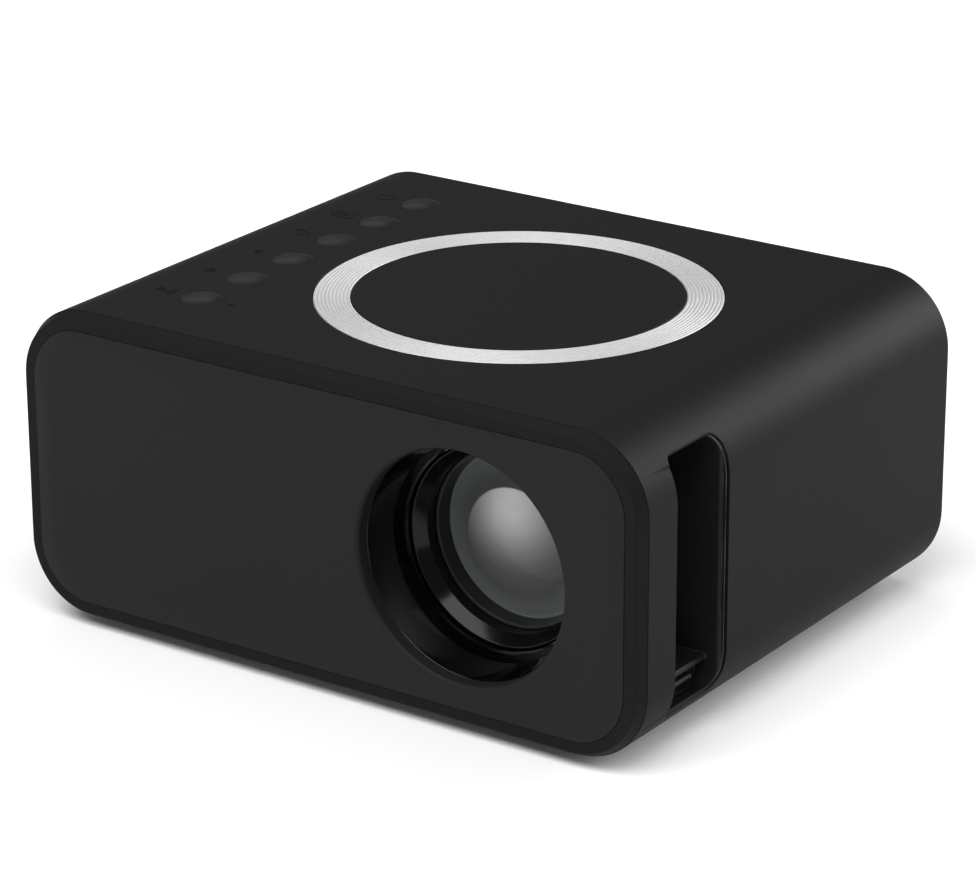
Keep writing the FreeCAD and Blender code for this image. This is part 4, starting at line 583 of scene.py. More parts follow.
# %% Metals
def metal(name, colour, roughness, marks=None, streak=None, wear=0.2, bare=1.0):
    """Bare metal with lathe marks about an axis, or streaks along one."""
    material, tree, shader = blank_material(name)
    surface = use_group(tree, skin, {
        "Colour": colour, "Roughness": roughness, "Grain Size": 0.5, "Grain Depth": 0.0, "Patches": 0.6,
    })
    worn = use_group(tree, edges, {"Width": 0.2, "Amount": wear})["Mask"]
    brighter = tuple(min(channel * 1.15, 1) for channel in colour[:3]) + (1,)
    roughened = surface["Roughness"]
    if marks:
        turned_marks = use_group(tree, lathe, marks)
        feed(shader, {"Normal": turned_marks["Normal"]})
        roughened = roughened + turned_marks["Mask"] * 0.08
    if streak:
        drawn = wire(tree, "ShaderNodeMapping", {"Vector": object_place(tree), "Scale": streak})
        lines = noise(tree, drawn, 1.0, 3.0)
        feed(shader, {"Normal": bump(tree, lines, 0.01 * MM)})
        roughened = roughened + lines * 0.15
    base = blend_colour(worn, surface["Colour"], brighter)
    feed(shader, {"Base Color": base, "Roughness": roughened, "Metallic": bare})
    return material


ring_centre = CASE @ RING
ring_metal = metal("ring_silver", grey(0.53), 0.52, bare=0.55, marks={
    "Centre": ring_centre, "Axis": (0, 0, 1), "Pitch": 0.05, "Depth": 0.006,
})
brass = metal("bush_brass", (0.72, 0.50, 0.22, 1), 0.30, marks={
    "Centre": CASE @ middle("tripod_bush"), "Axis": (0, 0, 1), "Pitch": 0.08, "Depth": 0.01,
})
screw_metal = metal("screw_dark", grey(0.16), 0.34, streak=(900, 900, 4000))
socket_steel = metal("socket_steel", grey(0.55), 0.28, streak=(5000, 60, 5000))
sink_metal = metal("sink_aluminium", grey(0.70), 0.38, streak=(6000, 90, 6000))

# %% Boards
def board(name, lacquer, track, pads):
    """A printed circuit board: lacquer, copper tracks under it and tinned pads."""
    material, tree, shader = blank_material(name)
    place = object_place(tree)
    tracks = wires(node(tree, "ShaderNodeTexBrick", {
        "Vector": place, "Scale": 240.0, "Mortar Size": 0.08,
        "Color1": lacquer, "Color2": lacquer, "Mortar": track,
    }).outputs)
    squares = {"Vector": place, "Scale": 520.0, "Randomness": 0.4}
    cells = wire(tree, "ShaderNodeTexVoronoi", squares, distance="CHEBYCHEV")
    pad = 1.0 - between(cells, 0.10, 0.14)
    tone = noise(tree, place, 60.0, 4.0)
    feed(shader, {
        "Base Color": blend_colour(pad, blend_colour(tone, tracks["Color"], lacquer), pads),
        "Metallic": pad * 0.9,
        "Roughness": 0.28 + tone * 0.2,
        "Normal": bump(tree, tracks["Fac"], 0.03 * MM, invert=True),
    })
    return material


green_board = board("board_green", (0.012, 0.085, 0.030, 1), (0.020, 0.135, 0.050, 1), (0.62, 0.60, 0.55, 1))
white_board = board("board_white", (0.62, 0.62, 0.60, 1), (0.70, 0.70, 0.68, 1), (0.75, 0.72, 0.60, 1))


def ribbon_finish():
    """A flat cable: white film over parallel conductors."""
    material, tree, shader = blank_material("ribbon_film")
    inputs = {"Vector": object_place(tree), "Scale": 310.0, "Distortion": 0.0}
    conductors = wire(tree, "ShaderNodeTexWave", inputs, "Fac", bands_direction="Y")
    feed(shader, {
        "Base Color": blend_colour(conductors, grey(0.72), grey(0.50, 0.03)),
        "Normal": bump(tree, conductors, 0.05 * MM),
        "Roughness": 0.35,
    })
    return material


ribbon_film = ribbon_finish()
print("boards and metals ready")

# %% [markdown]
# ## Glass
#
# The front lens looks dark at its edge and pale in the middle, because the light engine's pale
# screen is seen through it, magnified into a disc. Tracing the whole stack of lenses would be slow and would
# change from view to view. Here that disc is painted light on the glass itself, drawn by distance from the
# lens axis: a crisp upper edge, brightest above, and fading downwards as it does in the real one. The grey
# of the glass round it is a painted reflection, paler towards the rim.

# %% Lens glass
# The painted light of the pale disc: the share of the way down, and its painted grey there.
PAINTED_DISC_FADE = [
    (0.0, 0.78), (0.1, 0.74), (0.22, 0.65), (0.34, 0.49), (0.47, 0.33), (0.59, 0.215), (0.72, 0.135),
    (0.84, 0.098), (1.0, 0.088),
]


def coated_glass():
    """Dark glass with painted light: a painted reflection in its grey, and the pale disc of the light engine
    painted on it.
    """
    material, tree, shader = blank_material("coated_glass")
    axis = CASE @ LENS
    place = object_place(tree)
    spot = wires(node(tree, "ShaderNodeSeparateXYZ", {0: place}).outputs)
    across = (spot["X"] - axis.x) / MM
    up = (spot["Z"] - axis.z) / MM

    def radial(x, z):
        """Distance in millimetres from a point near the axis."""
        return reckon("SQRT", (across - x) ** 2.0 + (up - z) ** 2.0)

    # The pale disc is painted light, with a crisp edge, brightest above and darker below.
    inside = 1.0 - between(radial(-0.2, -0.9), 8.85, 9.15)
    painted_fall = node(tree, "ShaderNodeValToRGB", {"Fac": radial(-0.5, 7.5) / 16.0})
    stops = painted_fall.color_ramp.elements
    for (position, value), stop in zip((PAINTED_DISC_FADE[0], PAINTED_DISC_FADE[-1]), stops):
        stop.position = position
        stop.color = grey(value)
    for position, value in PAINTED_DISC_FADE[1:-1]:
        stops.new(position).color = grey(value)
    rim = between(radial(0.0, 0.0), 9.0, 13.6)
    # Painted reflection: the glass round the disc is paler towards the rim.
    glass = blend_colour(rim, (0.080, 0.083, 0.082, 1), (0.150, 0.170, 0.162, 1))
    haze = noise(tree, place, 90.0, 3.0)
    seen = blend_colour(inside, glass, Wire(painted_fall.outputs["Color"]))
    feed(shader, {
        "Base Color": scaled(tree, seen, 0.94 + haze * 0.12),
        "Roughness": 0.03 + haze * 0.04,
        "Specular IOR Level": 0.12,
        "IOR": 1.5,
    })
    return material


def clear_sheet(name, tint, roughness, rings=0.0):
    """Clear glass or acrylic, with or without the fine circles of a fresnel lens."""
    material, tree, shader = blank_material(name)
    tone = noise(tree, object_place(tree), 70.0, 2.0)
    darker = tuple(channel * 0.85 for channel in tint[:3]) + (1,)
    feed(shader, {
        "Base Color": blend_colour(tone, tint, darker),
        "Roughness": roughness + tone * 0.04,
        "Transmission Weight": 0.85,
        "IOR": 1.49,
    })
    if rings:
        marks = {"Centre": CASE @ LENS, "Axis": (0, 1, 0), "Pitch": rings, "Depth": 0.05}
        feed(shader, {"Normal": use_group(tree, lathe, marks)["Normal"]})
    return material


front_glass = coated_glass()
clear_glass = clear_sheet("clear_glass", (0.92, 0.97, 0.95, 1), 0.02)
fresnel = clear_sheet("fresnel_acrylic", (0.95, 0.97, 0.97, 1), 0.05, rings=0.4)
display = clear_sheet("display_glass", (0.45, 0.47, 0.50, 1), 0.08)
print("glass ready")

# %% [markdown]
# ## Holes with soft mouths
#
# A moulded hole never ends in a knife edge. The cutting tool itself gets a flared mouth: it is
# straight inside, and near the surface its outline grows along a quarter circle. Cutting with
# it leaves the rounding, also where the surface is curved, because the tool follows the surface.


# %% Cutting tools
# The front face's place; the front edge of the tube is at 0.
FACE = -1.95


def disc(x, y, radius, steps=64):
    """A circle as an outline."""
    turn = 2 * math.pi / steps
    return [Vector((x + radius * math.cos(turn * i), y + radius * math.sin(turn * i))) for i in range(steps)]


def obround(low, high, grow=0.0):
    """A slot with round ends, from its lowest and highest corners."""
    low = (low[0] - grow, low[1] - grow)
    high = (high[0] + grow, high[1] + grow)
    radius = min(high[0] - low[0], high[1] - low[1]) / 2
    return box_outline(low, high, [radius] * 4, steps=8)


def cutter(outline_at, onto, deep, soft, steps=6):
    """A tool with a flared mouth; onto(point, depth) places a point below the surface."""
    loops = [[onto(point, deep) for point in outline_at(0)]]
    for grow, depth in [(0, soft)] + quarter(soft, steps):
        loops.append([onto(point, depth) for point in outline_at(grow)])
    loops.append([onto(point, -1.0) for point in outline_at(soft)])
    return loft(bmesh.new(), loops, caps=True)


def round_hole(x, y, radius, onto, deep, soft, steps=64):
    """A tool for a round hole."""
    return cutter(lambda grow: disc(x, y, radius + grow, steps), onto, deep, soft)


def slot_hole(low, high, onto, deep, soft):
    """A tool for a slot with round ends."""
    return cutter(lambda grow: obround(low, high, grow), onto, deep, soft)


def four_places(x, y, across, along):
    """The corners of a rectangle about a middle."""
    return [(x + side * across / 2, y + end * along / 2) for side in (-1, 1) for end in (-1, 1)]


def top_side(point, depth):
    return Vector((point[0], point[1], HEIGHT - depth))


def under_side(point, depth):
    return Vector((point[0], point[1], depth))


def left_side(point, depth):
    return Vector((depth - WIDTH / 2, point[0], point[1]))


def right_side(point, depth, inset=0.0):
    """Below the right side, following the rounded corners; point is (y, z)."""
    buried = depth + inset
    if depth < 0 or buried > WALL + 1:
        return Vector((WIDTH / 2 - buried, point[0], point[1]))
    radius = CORNER - buried
    beyond = max(abs(point[1] - HEIGHT / 2) - (HEIGHT / 2 - CORNER), 0)
    x = WIDTH / 2 - CORNER + math.sqrt(max(radius ** 2 - beyond ** 2, 0))
    return Vector((x, point[0], point[1]))


def front_side(point, depth):
    return Vector((point[0], FACE + depth, point[1]))


print("cutting tools ready")

# %% [markdown]
# ## The case
#
# The case is one moulded sleeve, a rounded rectangle swept round its outline, with an open front and
# back. It could be a subdivided box, but a sweep keeps the corner radius exact and the flats
# flat. The groove, the button holes, the focus slot and the vents are cut with flared tools.

# %% Case shell
SLOT_FRONT, SLOT_REAR, SLOT_LIP = 8.6, 22.3, 0.7
SLOT_LOW, SLOT_HIGH = 5.8, HEIGHT - 5.2
BUTTONS = ["play", "right", "left", "back", "source", "power"]
BUTTON_SPOTS = {name: middle(f"button_{name}") for name in BUTTONS}


def slot_outline(grow, rear, sink=0.0, start=SLOT_FRONT):
    """The focus slot in (y, z), with tighter corners in front."""
    low = (start - grow, SLOT_LOW - grow - sink)
    high = (rear, SLOT_HIGH + grow)
    front, back = max(1 + grow, 0.1), max(3 + grow, 0.1)
    return box_outline(low, high, [front, back, back, front], steps=10)


def vents(count, pitch, middle_at):
    """The middles of a row of vents."""
    return [middle_at + (index - (count - 1) / 2) * pitch for index in range(count)]


# The sleeve starts this far back, and the frame fills the place before it.
LIP_BACK = 0.6
shell = swept(rounded([(0, LIP_BACK, 0.15), (0, DEPTH, 1.2), (WALL, DEPTH, 0.3), (WALL, LIP_BACK, 0.3)], 0))
case_shell = as_object("case_shell", shell)

RING_BAND, RING_SEAT, RING_GAP, FLARE = 6.02, 0.66, 0.1, 0.22
low, high = case_box("top_ring")
outer = (high.x - low.x) / 2
inner = outer - RING_BAND
seat = HEIGHT - RING_SEAT
groove = turned([
    (inner - RING_GAP, seat), (outer + RING_GAP, seat), (outer + RING_GAP, HEIGHT - 0.1),
    (outer + FLARE, HEIGHT), (outer + FLARE, HEIGHT + 1), (inner - FLARE, HEIGHT + 1),
    (inner - FLARE, HEIGHT), (inner - RING_GAP, HEIGHT - 0.1),
], Vector((RING.x, RING.y, 0)), axis="Z", segments=192)
THROUGH = WALL + 1
BUTTON_HOLE = 3.63
holes = [round_hole(spot.x, spot.y, BUTTON_HOLE, top_side, THROUGH, 0.05) for spot in BUTTON_SPOTS.values()]
combine(case_shell, merged(groove, *holes))

HEAD_HOLE, HEAD_SUNK = 2.25, 1.35
BASE_ACROSS, BASE_ALONG = 82.0, 44.0
sound = [
    slot_hole((y - 0.75, LENS.z - 9), (y + 0.75, LENS.z + 9), left_side, THROUGH, 0.25)
    for y in vents(7, 3.6, 34.0)
]
air = [
    slot_hole((LENS.x - 12, y - 1.1), (LENS.x + 12, y + 1.1), under_side, THROUGH, 0.3)
    for y in vents(6, 5.0, 51.0)
]
heads = [
    round_hole(*spot, HEAD_HOLE, under_side, HEAD_SUNK, 0.2)
    for spot in four_places(0, MIDDLE_Y, BASE_ACROSS, BASE_ALONG)
]
bush_hole = round_hole(0, MIDDLE_Y, 5.1, under_side, THROUGH, 0.2)
combine(case_shell, merged(*sound, *air, *heads, bush_hole))
MOUTH_BACK = 0.3
mouth = cutter(
    lambda grow: slot_outline(grow - 0.3, SLOT_REAR + SLOT_LIP + 0.4 * grow, grow, SLOT_FRONT + MOUTH_BACK),
    right_side, CORNER, 0.8)
combine(case_shell, mouth)
register(case_shell, case_black, "case", ["outer_sleeve"])

# %% [markdown]
# ## Front frame and front face
#
# A separate frame covers the cut end of the sleeve. Its sides taper towards the front, and its
# rounded front corner catches a fine line of light. The face inside it is gently pillowed: flat in
# the middle, and falling away towards the seam along a parabola. A chamfer would show a hard line
# there, and the real face has none.

# %% Front frame
frame_profile = rounded([
    (1.0, -1.4, 0.42), (3.0, -1.4, 0.08), (3.0, 0.65, 0), (4.6, 0.65, 0),
    (4.6, 6.0, 0.2), (2.3, 6.0, 0.2), (2.3, LIP_BACK, 0), (0.12, LIP_BACK, 0.04),
], 0)
piece("front_bezel", swept(frame_profile), frame_black, "case", ["front_frame"])

# %% Front face
SEAM_INSET, PILLOW, DROP = 3.04, 4.6, 0.44
MOUTH_RADIUS = 19.1
face_rows = [(SEAM_INSET, 0.65), (SEAM_INSET, FACE + DROP + 0.1)]
for inwards, short in quarter(0.1, 4):
    face_rows.append((SEAM_INSET + inwards, FACE + DROP + short - 0.02))
for step in range(1, 15):
    share = step / 14
    face_rows.append((SEAM_INSET + 0.1 + (PILLOW - 0.1) * share, FACE + (DROP - 0.02) * (1 - share) ** 2))
front_face = as_object("front_face", swept(face_rows, closed=False))
combine(front_face, round_hole(LENS.x, LENS.z, MOUTH_RADIUS, front_side, 4.0, 0.8, 144))
register(front_face, panel_black, "case", ["front_panel"])

# %% [markdown]
# ## The lens recess and the lens
#
# Everything round the lens axis is turned from a profile: the recess, which narrows in two cones, the
# barrel with its bevelled mouth, the ring that clamps the glass, and the domed glass itself. The
# profiles keep the small roundings, since each one draws a bright or dark line round the lens. The bright
# lines on the barrel's rim and on the clamp ring are also painted highlights in their edge colour.

# %% Recess, barrel and glass
recess = turned(rounded([
    (MOUTH_RADIUS, 0.65, 0.1), (18.05, 6.2, 0.3), (17.3, 8.1, 0.1),
    (17.3, 8.45, 0.05), (20.4, 8.45, 0.2), (20.4, 0.65, 0.2),
], 0, 8), LENS)
piece("lens_recess", recess, recess_gloss, "case", ["lens_hood"])

barrel = turned(rounded([
    (16.5, 9.0, 0.2), (16.9, 9.3, 0.3), (16.9, 33.0, 0.2), (12.0, 33.0, 0.2), (12.0, 26.6, 0),
    (11.0, 26.6, 0.1), (11.0, 25.6, 0.1), (13.2, 25.6, 0), (13.2, 18.5, 0), (14.9, 18.5, 0),
    (14.9, 10.95, 0.15),
], 0), LENS)
piece("lens_tube", barrel, barrel_gloss, "lens_unit", ["lens_barrel"])

clamp = rounded([(14.85, 13.0, 0.1), (14.85, 15.6, 0), (13.9, 15.6, 0.05), (14.3, 13.0, 0.12)], 0)
piece("lens_clamp", turned(clamp, LENS), clamp_satin, "lens_unit", ["front_lens_ring"])

DOME_REACH, DOME_RISE, GLASS_FRONT, GLASS_BACK, GLASS_RADIUS = 13.8, 3.0, 15.6, 18.5, 14.85
dome_radius = (DOME_REACH ** 2 + DOME_RISE ** 2) / (2 * DOME_RISE)
dome = []
for step in range(25):
    reach = DOME_REACH * (1 - step / 24)
    rise = math.sqrt(dome_radius ** 2 - reach ** 2) - (dome_radius - DOME_RISE)
    dome.append((reach, GLASS_FRONT - rise))
back_of_glass = [(0, GLASS_BACK), (GLASS_RADIUS, GLASS_BACK), (GLASS_RADIUS, GLASS_FRONT)]
glass = turned(back_of_glass + dome, LENS, closed=False)
piece("front_glass", glass, front_glass, "lens_unit", ["front_lens"])

# %% [markdown]
# ## Geometry Nodes for what repeats
#
# Two rules repeat on this object. Screws and feet stand at the four corners of a rectangle. The ribs of
# the focus wheel and the vanes of the fan stand evenly round an axis. Each rule becomes a small
# node group with named inputs, and its result is turned into a plain mesh.

# %% Groups: four corners and round an axis
def close_group(leave, geometry, finish):
    """End a geometry group: make its copies real and give them their material."""
    tree = leave.id_data
    real = wire(tree, "GeometryNodeRealizeInstances", {"Geometry": geometry})
    feed(leave, {"Geometry": wire(tree, "GeometryNodeSetMaterial", {"Geometry": real, "Material": finish})})


corners, given, leave = node_group(
    "four_corners", "GeometryNodeTree",
    [("Geometry", GEOMETRY, None), ("Across", FLOAT, 10.0), ("Along", FLOAT, 10.0),
     ("Centre", VECTOR, (0, 0, 0)), ("Turn", VECTOR, (0, 0, 0)), ("Finish", MATERIAL, None)],
    [("Geometry", GEOMETRY)],
)
grid = wire(corners, "GeometryNodeMeshGrid", {
    "Size X": given["Across"], "Size Y": given["Along"], "Vertices X": 2, "Vertices Y": 2,
})
copies = wire(corners, "GeometryNodeInstanceOnPoints", {"Points": grid, "Instance": given["Geometry"]})
placed = wire(corners, "GeometryNodeTransform", {
    "Geometry": copies, "Translation": given["Centre"], "Rotation": given["Turn"],
})
close_group(leave, placed, given["Finish"])

around, given, leave = node_group(
    "round_an_axis", "GeometryNodeTree",
    [("Geometry", GEOMETRY, None), ("Count", WHOLE, 7),
     ("Centre", VECTOR, (0, 0, 0)), ("Finish", MATERIAL, None)],
    [("Geometry", GEOMETRY)],
)
points = wire(around, "GeometryNodePoints", {"Count": given["Count"], "Position": given["Centre"]})
angle = wire(around, "GeometryNodeInputIndex") / given["Count"] * (2 * math.pi)
turn = wire(around, "ShaderNodeCombineXYZ", {"Y": angle})
copies = wire(around, "GeometryNodeInstanceOnPoints", {
    "Points": points, "Instance": given["Geometry"], "Rotation": turn,
})
close_group(leave, copies, given["Finish"])


def repeat(made, group, inputs):
    """Run a node group on an object and keep the result as a plain mesh."""
    modifier = made.modifiers.new("repeat", "NODES")
    modifier.node_group = group
    for item in group.interface.items_tree:
        if item.item_type == "SOCKET" and item.in_out == "INPUT" and item.name in inputs:
            modifier[item.identifier] = inputs[item.name]
    apply_modifiers(made)


# %% [markdown]
# ## The bright ring
#
# The ring let into the top has ten fine ridges. Each point of a flat grid is sent to its place by a rule:
# one direction of the grid goes round the ring, the other once round its section. The
# top of the section is a wave with one crest for each ridge. Merging by distance closes both seams.

# %% Group: ridged ring
ridged, given, leave = node_group(
    "ridged_ring", "GeometryNodeTree",
    [("Geometry", GEOMETRY, None), ("Inner Radius", FLOAT, 27.0), ("Outer Radius", FLOAT, 33.0),
     ("Top", FLOAT, 0.7), ("Bottom", FLOAT, 0.0), ("Ridges", FLOAT, 10.0), ("Ridge Depth", FLOAT, 0.12),
     ("Edge Round", FLOAT, 0.25), ("Centre", VECTOR, (0, 0, 0)), ("Finish", MATERIAL, None)],
    [("Geometry", GEOMETRY)],
)
sheet = wire(ridged, "GeometryNodeMeshGrid", {
    "Size X": 1.0, "Size Y": 1.0, "Vertices X": 181, "Vertices Y": 184,
})
position = wire(ridged, "GeometryNodeInputPosition")
spot = wires(node(ridged, "ShaderNodeSeparateXYZ", {0: position}).outputs)
angle = (spot["X"] + 0.5) * (2 * math.pi)
share = spot["Y"] + 0.5
# The section runs over the top, down the outer side, back below and up the inner side.
over = between(share, 0.0, 0.94, smooth=False)
back = between(share, 0.95, 0.99, smooth=False)
below = reckon("GREATER_THAN", share, 0.945) * reckon("LESS_THAN", share, 0.995)
band = given["Outer Radius"] - given["Inner Radius"]
radius = given["Inner Radius"] + band * (over - back)
# Near either edge the top falls along a quarter circle.
to_edge = reckon("MINIMUM", over, 1.0 - over) * band
near = reckon("SUBTRACT", 1.0, to_edge / given["Edge Round"], clamp=True)
shoulder = (1.0 - reckon("SQRT", 1.0 - near * near)) * given["Edge Round"]
wave = 0.5 + reckon("COSINE", over * given["Ridges"] * (2 * math.pi)) * 0.5
dip = wave ** 3.0 * (1.0 - near) * given["Ridge Depth"]
surface = given["Top"] - (dip + shoulder)
goal = wire(ridged, "ShaderNodeCombineXYZ", {
    "X": radius * reckon("COSINE", angle),
    "Y": radius * reckon("SINE", angle),
    "Z": surface - (surface - given["Bottom"]) * below,
})
goal = vector_step(ridged, "ADD", goal, given["Centre"])
bent = wire(ridged, "GeometryNodeSetPosition", {"Geometry": sheet, "Position": goal})
welded = wire(ridged, "GeometryNodeMergeByDistance", {"Geometry": bent, "Distance": 0.002})
close_group(leave, welded, given["Finish"])

ring_sheet = as_object("ring_sheet", bmesh.new())
repeat(ring_sheet, ridged, {
    "Inner Radius": inner, "Outer Radius": outer, "Top": HEIGHT + 0.04, "Bottom": seat,
    "Centre": Vector((RING.x, RING.y, 0)), "Finish": ring_metal,
})
bright_ring = as_object("bright_ring", drawing_of(ring_sheet))
register(bright_ring, ring_metal, "case", ["top_ring"], sharp=50)

# %% [markdown]
# ## Buttons
#
# Six shallow domes stand just proud of the top. Each one slides in its own hole, so
# each is a piece of its own on its own body. The cap has a flange below, which stops it falling out.

# %% Buttons and their marks
def button_cap(spot, bottom):
    """A domed cap with a flange, turned about its own axis."""
    rim, rise, reach = HEIGHT - 0.02, 0.5, 3.6
    profile = [(0, bottom), (4.4, bottom), (4.4, bottom + 0.8), (reach, bottom + 0.8), (reach, rim - 0.06)]
    for step in range(19):
        share = math.cos(math.pi / 2 * step / 18)
        profile.append(((reach - 0.03) * share, rim + rise * (1 - share ** 2.8)))
    return turned(profile, spot, axis="Z", segments=72, closed=False)


for name, spot in BUTTON_SPOTS.items():
    bottom = case_box(f"button_{name}")[0].z
    cap = button_cap(spot, bottom)
    piece(f"cap_{name}", cap, button_black, f"{name}_button", [f"button_{name}"])


def stroke(points, width):
    """A line of a given width as a closed outline."""
    points = [Vector(point) for point in points]
    left, right = [], []
    for index, point in enumerate(points):
        before = points[max(index - 1, 0)]
        after = points[min(index + 1, len(points) - 1)]
        along = (after - before).normalized()
        side = Vector((-along.y, along.x)) * width / 2
        left.append(point + side)
        right.append(point - side)
    return left + right[::-1]


def arc_points(radius, start, end, centre=(0, 0), steps=20):
    """Points along an arc, with angles in degrees."""
    turn = [math.radians(start + (end - start) * i / steps) for i in range(steps + 1)]
    return [(centre[0] + radius * math.cos(t), centre[1] + radius * math.sin(t)) for t in turn]


LINE = 0.24
MARKS = {
    "play": [[(-1.4, -1.0), (0.3, 0.0), (-1.4, 1.0)], stroke([(0.9, -1.0), (0.9, 1.0)], 0.36),
             stroke([(1.6, -1.0), (1.6, 1.0)], 0.36)],
    "right": [[(-0.8, -1.0), (0.9, 0.0), (-0.8, 1.0)]],
    "left": [[(0.8, -1.0), (0.8, 1.0), (-0.9, 0.0)]],
    "back": [stroke(arc_points(0.8, -90, 90, (0.6, 0.0)), LINE), stroke([(0.6, 0.8), (-1.0, 0.8)], LINE),
             stroke([(0.6, -0.8), (-0.8, -0.8)], LINE), [(-0.9, 0.2), (-0.9, 1.4), (-1.7, 0.8)]],
    "source": [stroke([(-1.7, -1.1), (1.7, -1.1)], LINE), stroke([(-1.7, 1.1), (1.7, 1.1)], LINE),
               stroke([(1.7, -1.2), (1.7, 1.2)], LINE), stroke([(-1.7, -1.2), (-1.7, -0.5)], LINE),
               stroke([(-1.7, 0.5), (-1.7, 1.2)], LINE), stroke([(-2.3, 0.0), (0.0, 0.0)], LINE),
               [(0.0, -0.5), (0.8, 0.0), (0.0, 0.5)]],
    "power": [stroke(arc_points(1.3, 125, 415, steps=40), LINE), stroke([(0.0, 0.3), (0.0, 1.7)], LINE)],
}
drawings = []
for name, outlines in MARKS.items():
    spot = BUTTON_SPOTS[name]
    for outline in outlines:
        moved = [(spot.x - 7.6 + 1.15 * point[0], spot.y + 1.15 * point[1]) for point in outline]
        drawings.append(prism(moved, "Z", HEIGHT - 0.02, HEIGHT + 0.025))
status = obround((BUTTON_SPOTS["play"].x + 5.1, BUTTON_SPOTS["play"].y - 0.2),
                 (BUTTON_SPOTS["play"].x + 6.7, BUTTON_SPOTS["play"].y + 0.2))
drawings.append(prism(status, "Z", HEIGHT - 0.02, HEIGHT + 0.025))
piece("button_marks", merged(*drawings), ink, "case")

# %% [markdown]
# ## The focus slot
#
# A finger reaches the ribbed wheel through a slot in the right side. A liner forms the well behind it:
# walls, a lip along the rear edge, a shelf at the bottom and a thin rib below the shelf. The ledges
# are only laid into the walls, since their joints are hidden. Small roundings and a painted highlight
# in the well's pale edge colour give the bright edges.

# %% Slot well
BACK_X = WIDTH / 2 - WALL - 9.0


def tube_space(inset):
    """The space inside the tube's outline."""
    return prism(case_outline(inset), "Y", 0.5, DEPTH - 0.5)


slot_well = as_object("slot_well", prism(slot_outline(1.2, SLOT_REAR + 1.2), "X", BACK_X, WIDTH / 2 + 1))
combine(slot_well, tube_space(WALL + 0.1), "INTERSECT")
lip = as_object("lip", prism(slot_outline(-0.1, SLOT_REAR + SLOT_LIP - 0.1), "X", BACK_X, WIDTH / 2 + 1))
combine(lip, tube_space(0.3), "INTERSECT")
combine(slot_well, drawing_of(lip), "UNION")
hollow = cutter(lambda grow: slot_outline(grow, SLOT_REAR + grow),
                lambda point, depth: right_side(point, depth, 0.2), CORNER, 0.45, steps=10)
combine(slot_well, hollow)

SHELF_X = WIDTH / 2 - 3.2
ledges = [
    ([(BACK_X, 10.2), (SHELF_X, 10.2, 0.25), (SHELF_X, 11.2, 0.3), (BACK_X, 11.2)], SLOT_REAR + 0.2),
    ([(BACK_X, 5.2), (SHELF_X - 2, 5.2), (SHELF_X - 2, 10.5), (BACK_X, 10.5)], SLOT_REAR + 0.2),
    ([(BACK_X, 8.6), (SHELF_X, 8.6, 0.2), (SHELF_X, 9.3, 0.25), (BACK_X, 9.3)], SLOT_REAR - 4.2),
]
shelf = merged(*[prism(rounded(outline, 0, 6), "Y", SLOT_FRONT - 0.4, end) for outline, end in ledges])
piece("slot_well", merged(drawing_of(slot_well), shelf), well_black, "case", ["slot_liner"])

# %% [markdown]
# ## The focus wheel
#
# The wheel is a plain drum with sixty ribs. One rounded rib is drawn, and the node group sets its
# copies round the axis.

# %% Focus wheel
front, back = (corner.y for corner in case_box("focus_wheel"))
drum = turned(rounded([
    (19.1, front, 0.2), (22.9, front, 0.5), (22.9, back, 0.5), (19.1, back, 0.2),
], 0), LENS)
piece("wheel_drum", drum, wheel_black, "focus_dial", ["focus_wheel"])
RIBS, RIB_SHORT = 60, 0.3
rib = rounded([(-0.72, 22.6), (-0.62, 24.0, 0.3), (0.62, 24.0, 0.3), (0.72, 22.6)], 0)
wheel_ribs = as_object("wheel_ribs", prism(rib, "Y", front + RIB_SHORT, back - RIB_SHORT))
break_edges(wheel_ribs, 0.15, 60)
repeat(wheel_ribs, around, {"Count": RIBS, "Centre": Vector((LENS.x, 0, LENS.z)), "Finish": wheel_black})
register(wheel_ribs, wheel_black, "focus_dial")

# %% [markdown]
# ## The rear face
#
# The back carries everything plain: a round air grille behind the fan, four sockets
# in a row, and screws in counterbores. Each opening is one flared tool, so all their edges match.

# %% Rear face
REAR_IN, REAR_OUT = (corner.y for corner in case_box("rear_panel"))
REAR_INSET, REAR_ROUND = 2.32, 0.35
rear_rows = [(REAR_INSET, REAR_IN), (REAR_INSET, REAR_OUT - REAR_ROUND)]
for inwards, short in quarter(REAR_ROUND, 5):
    rear_rows.append((REAR_INSET + inwards, REAR_OUT - short))
rear_face = as_object("rear_face", swept(rear_rows, closed=False))


def rear_side(point, depth):
    return Vector((point[0], REAR_OUT - depth, point[1]))


def socket_hole(socket, gap, radius, soft):
    """A tool for the opening round a socket."""
    low, high = case_box(socket)
    low, high = (low.x - gap, low.z - gap), (high.x + gap, high.z + gap)
    return cutter(
        lambda grow: box_outline(
            (low[0] - grow, low[1] - grow), (high[0] + grow, high[1] + grow), [radius + grow] * 4, steps=8),
        rear_side, BEYOND, soft)


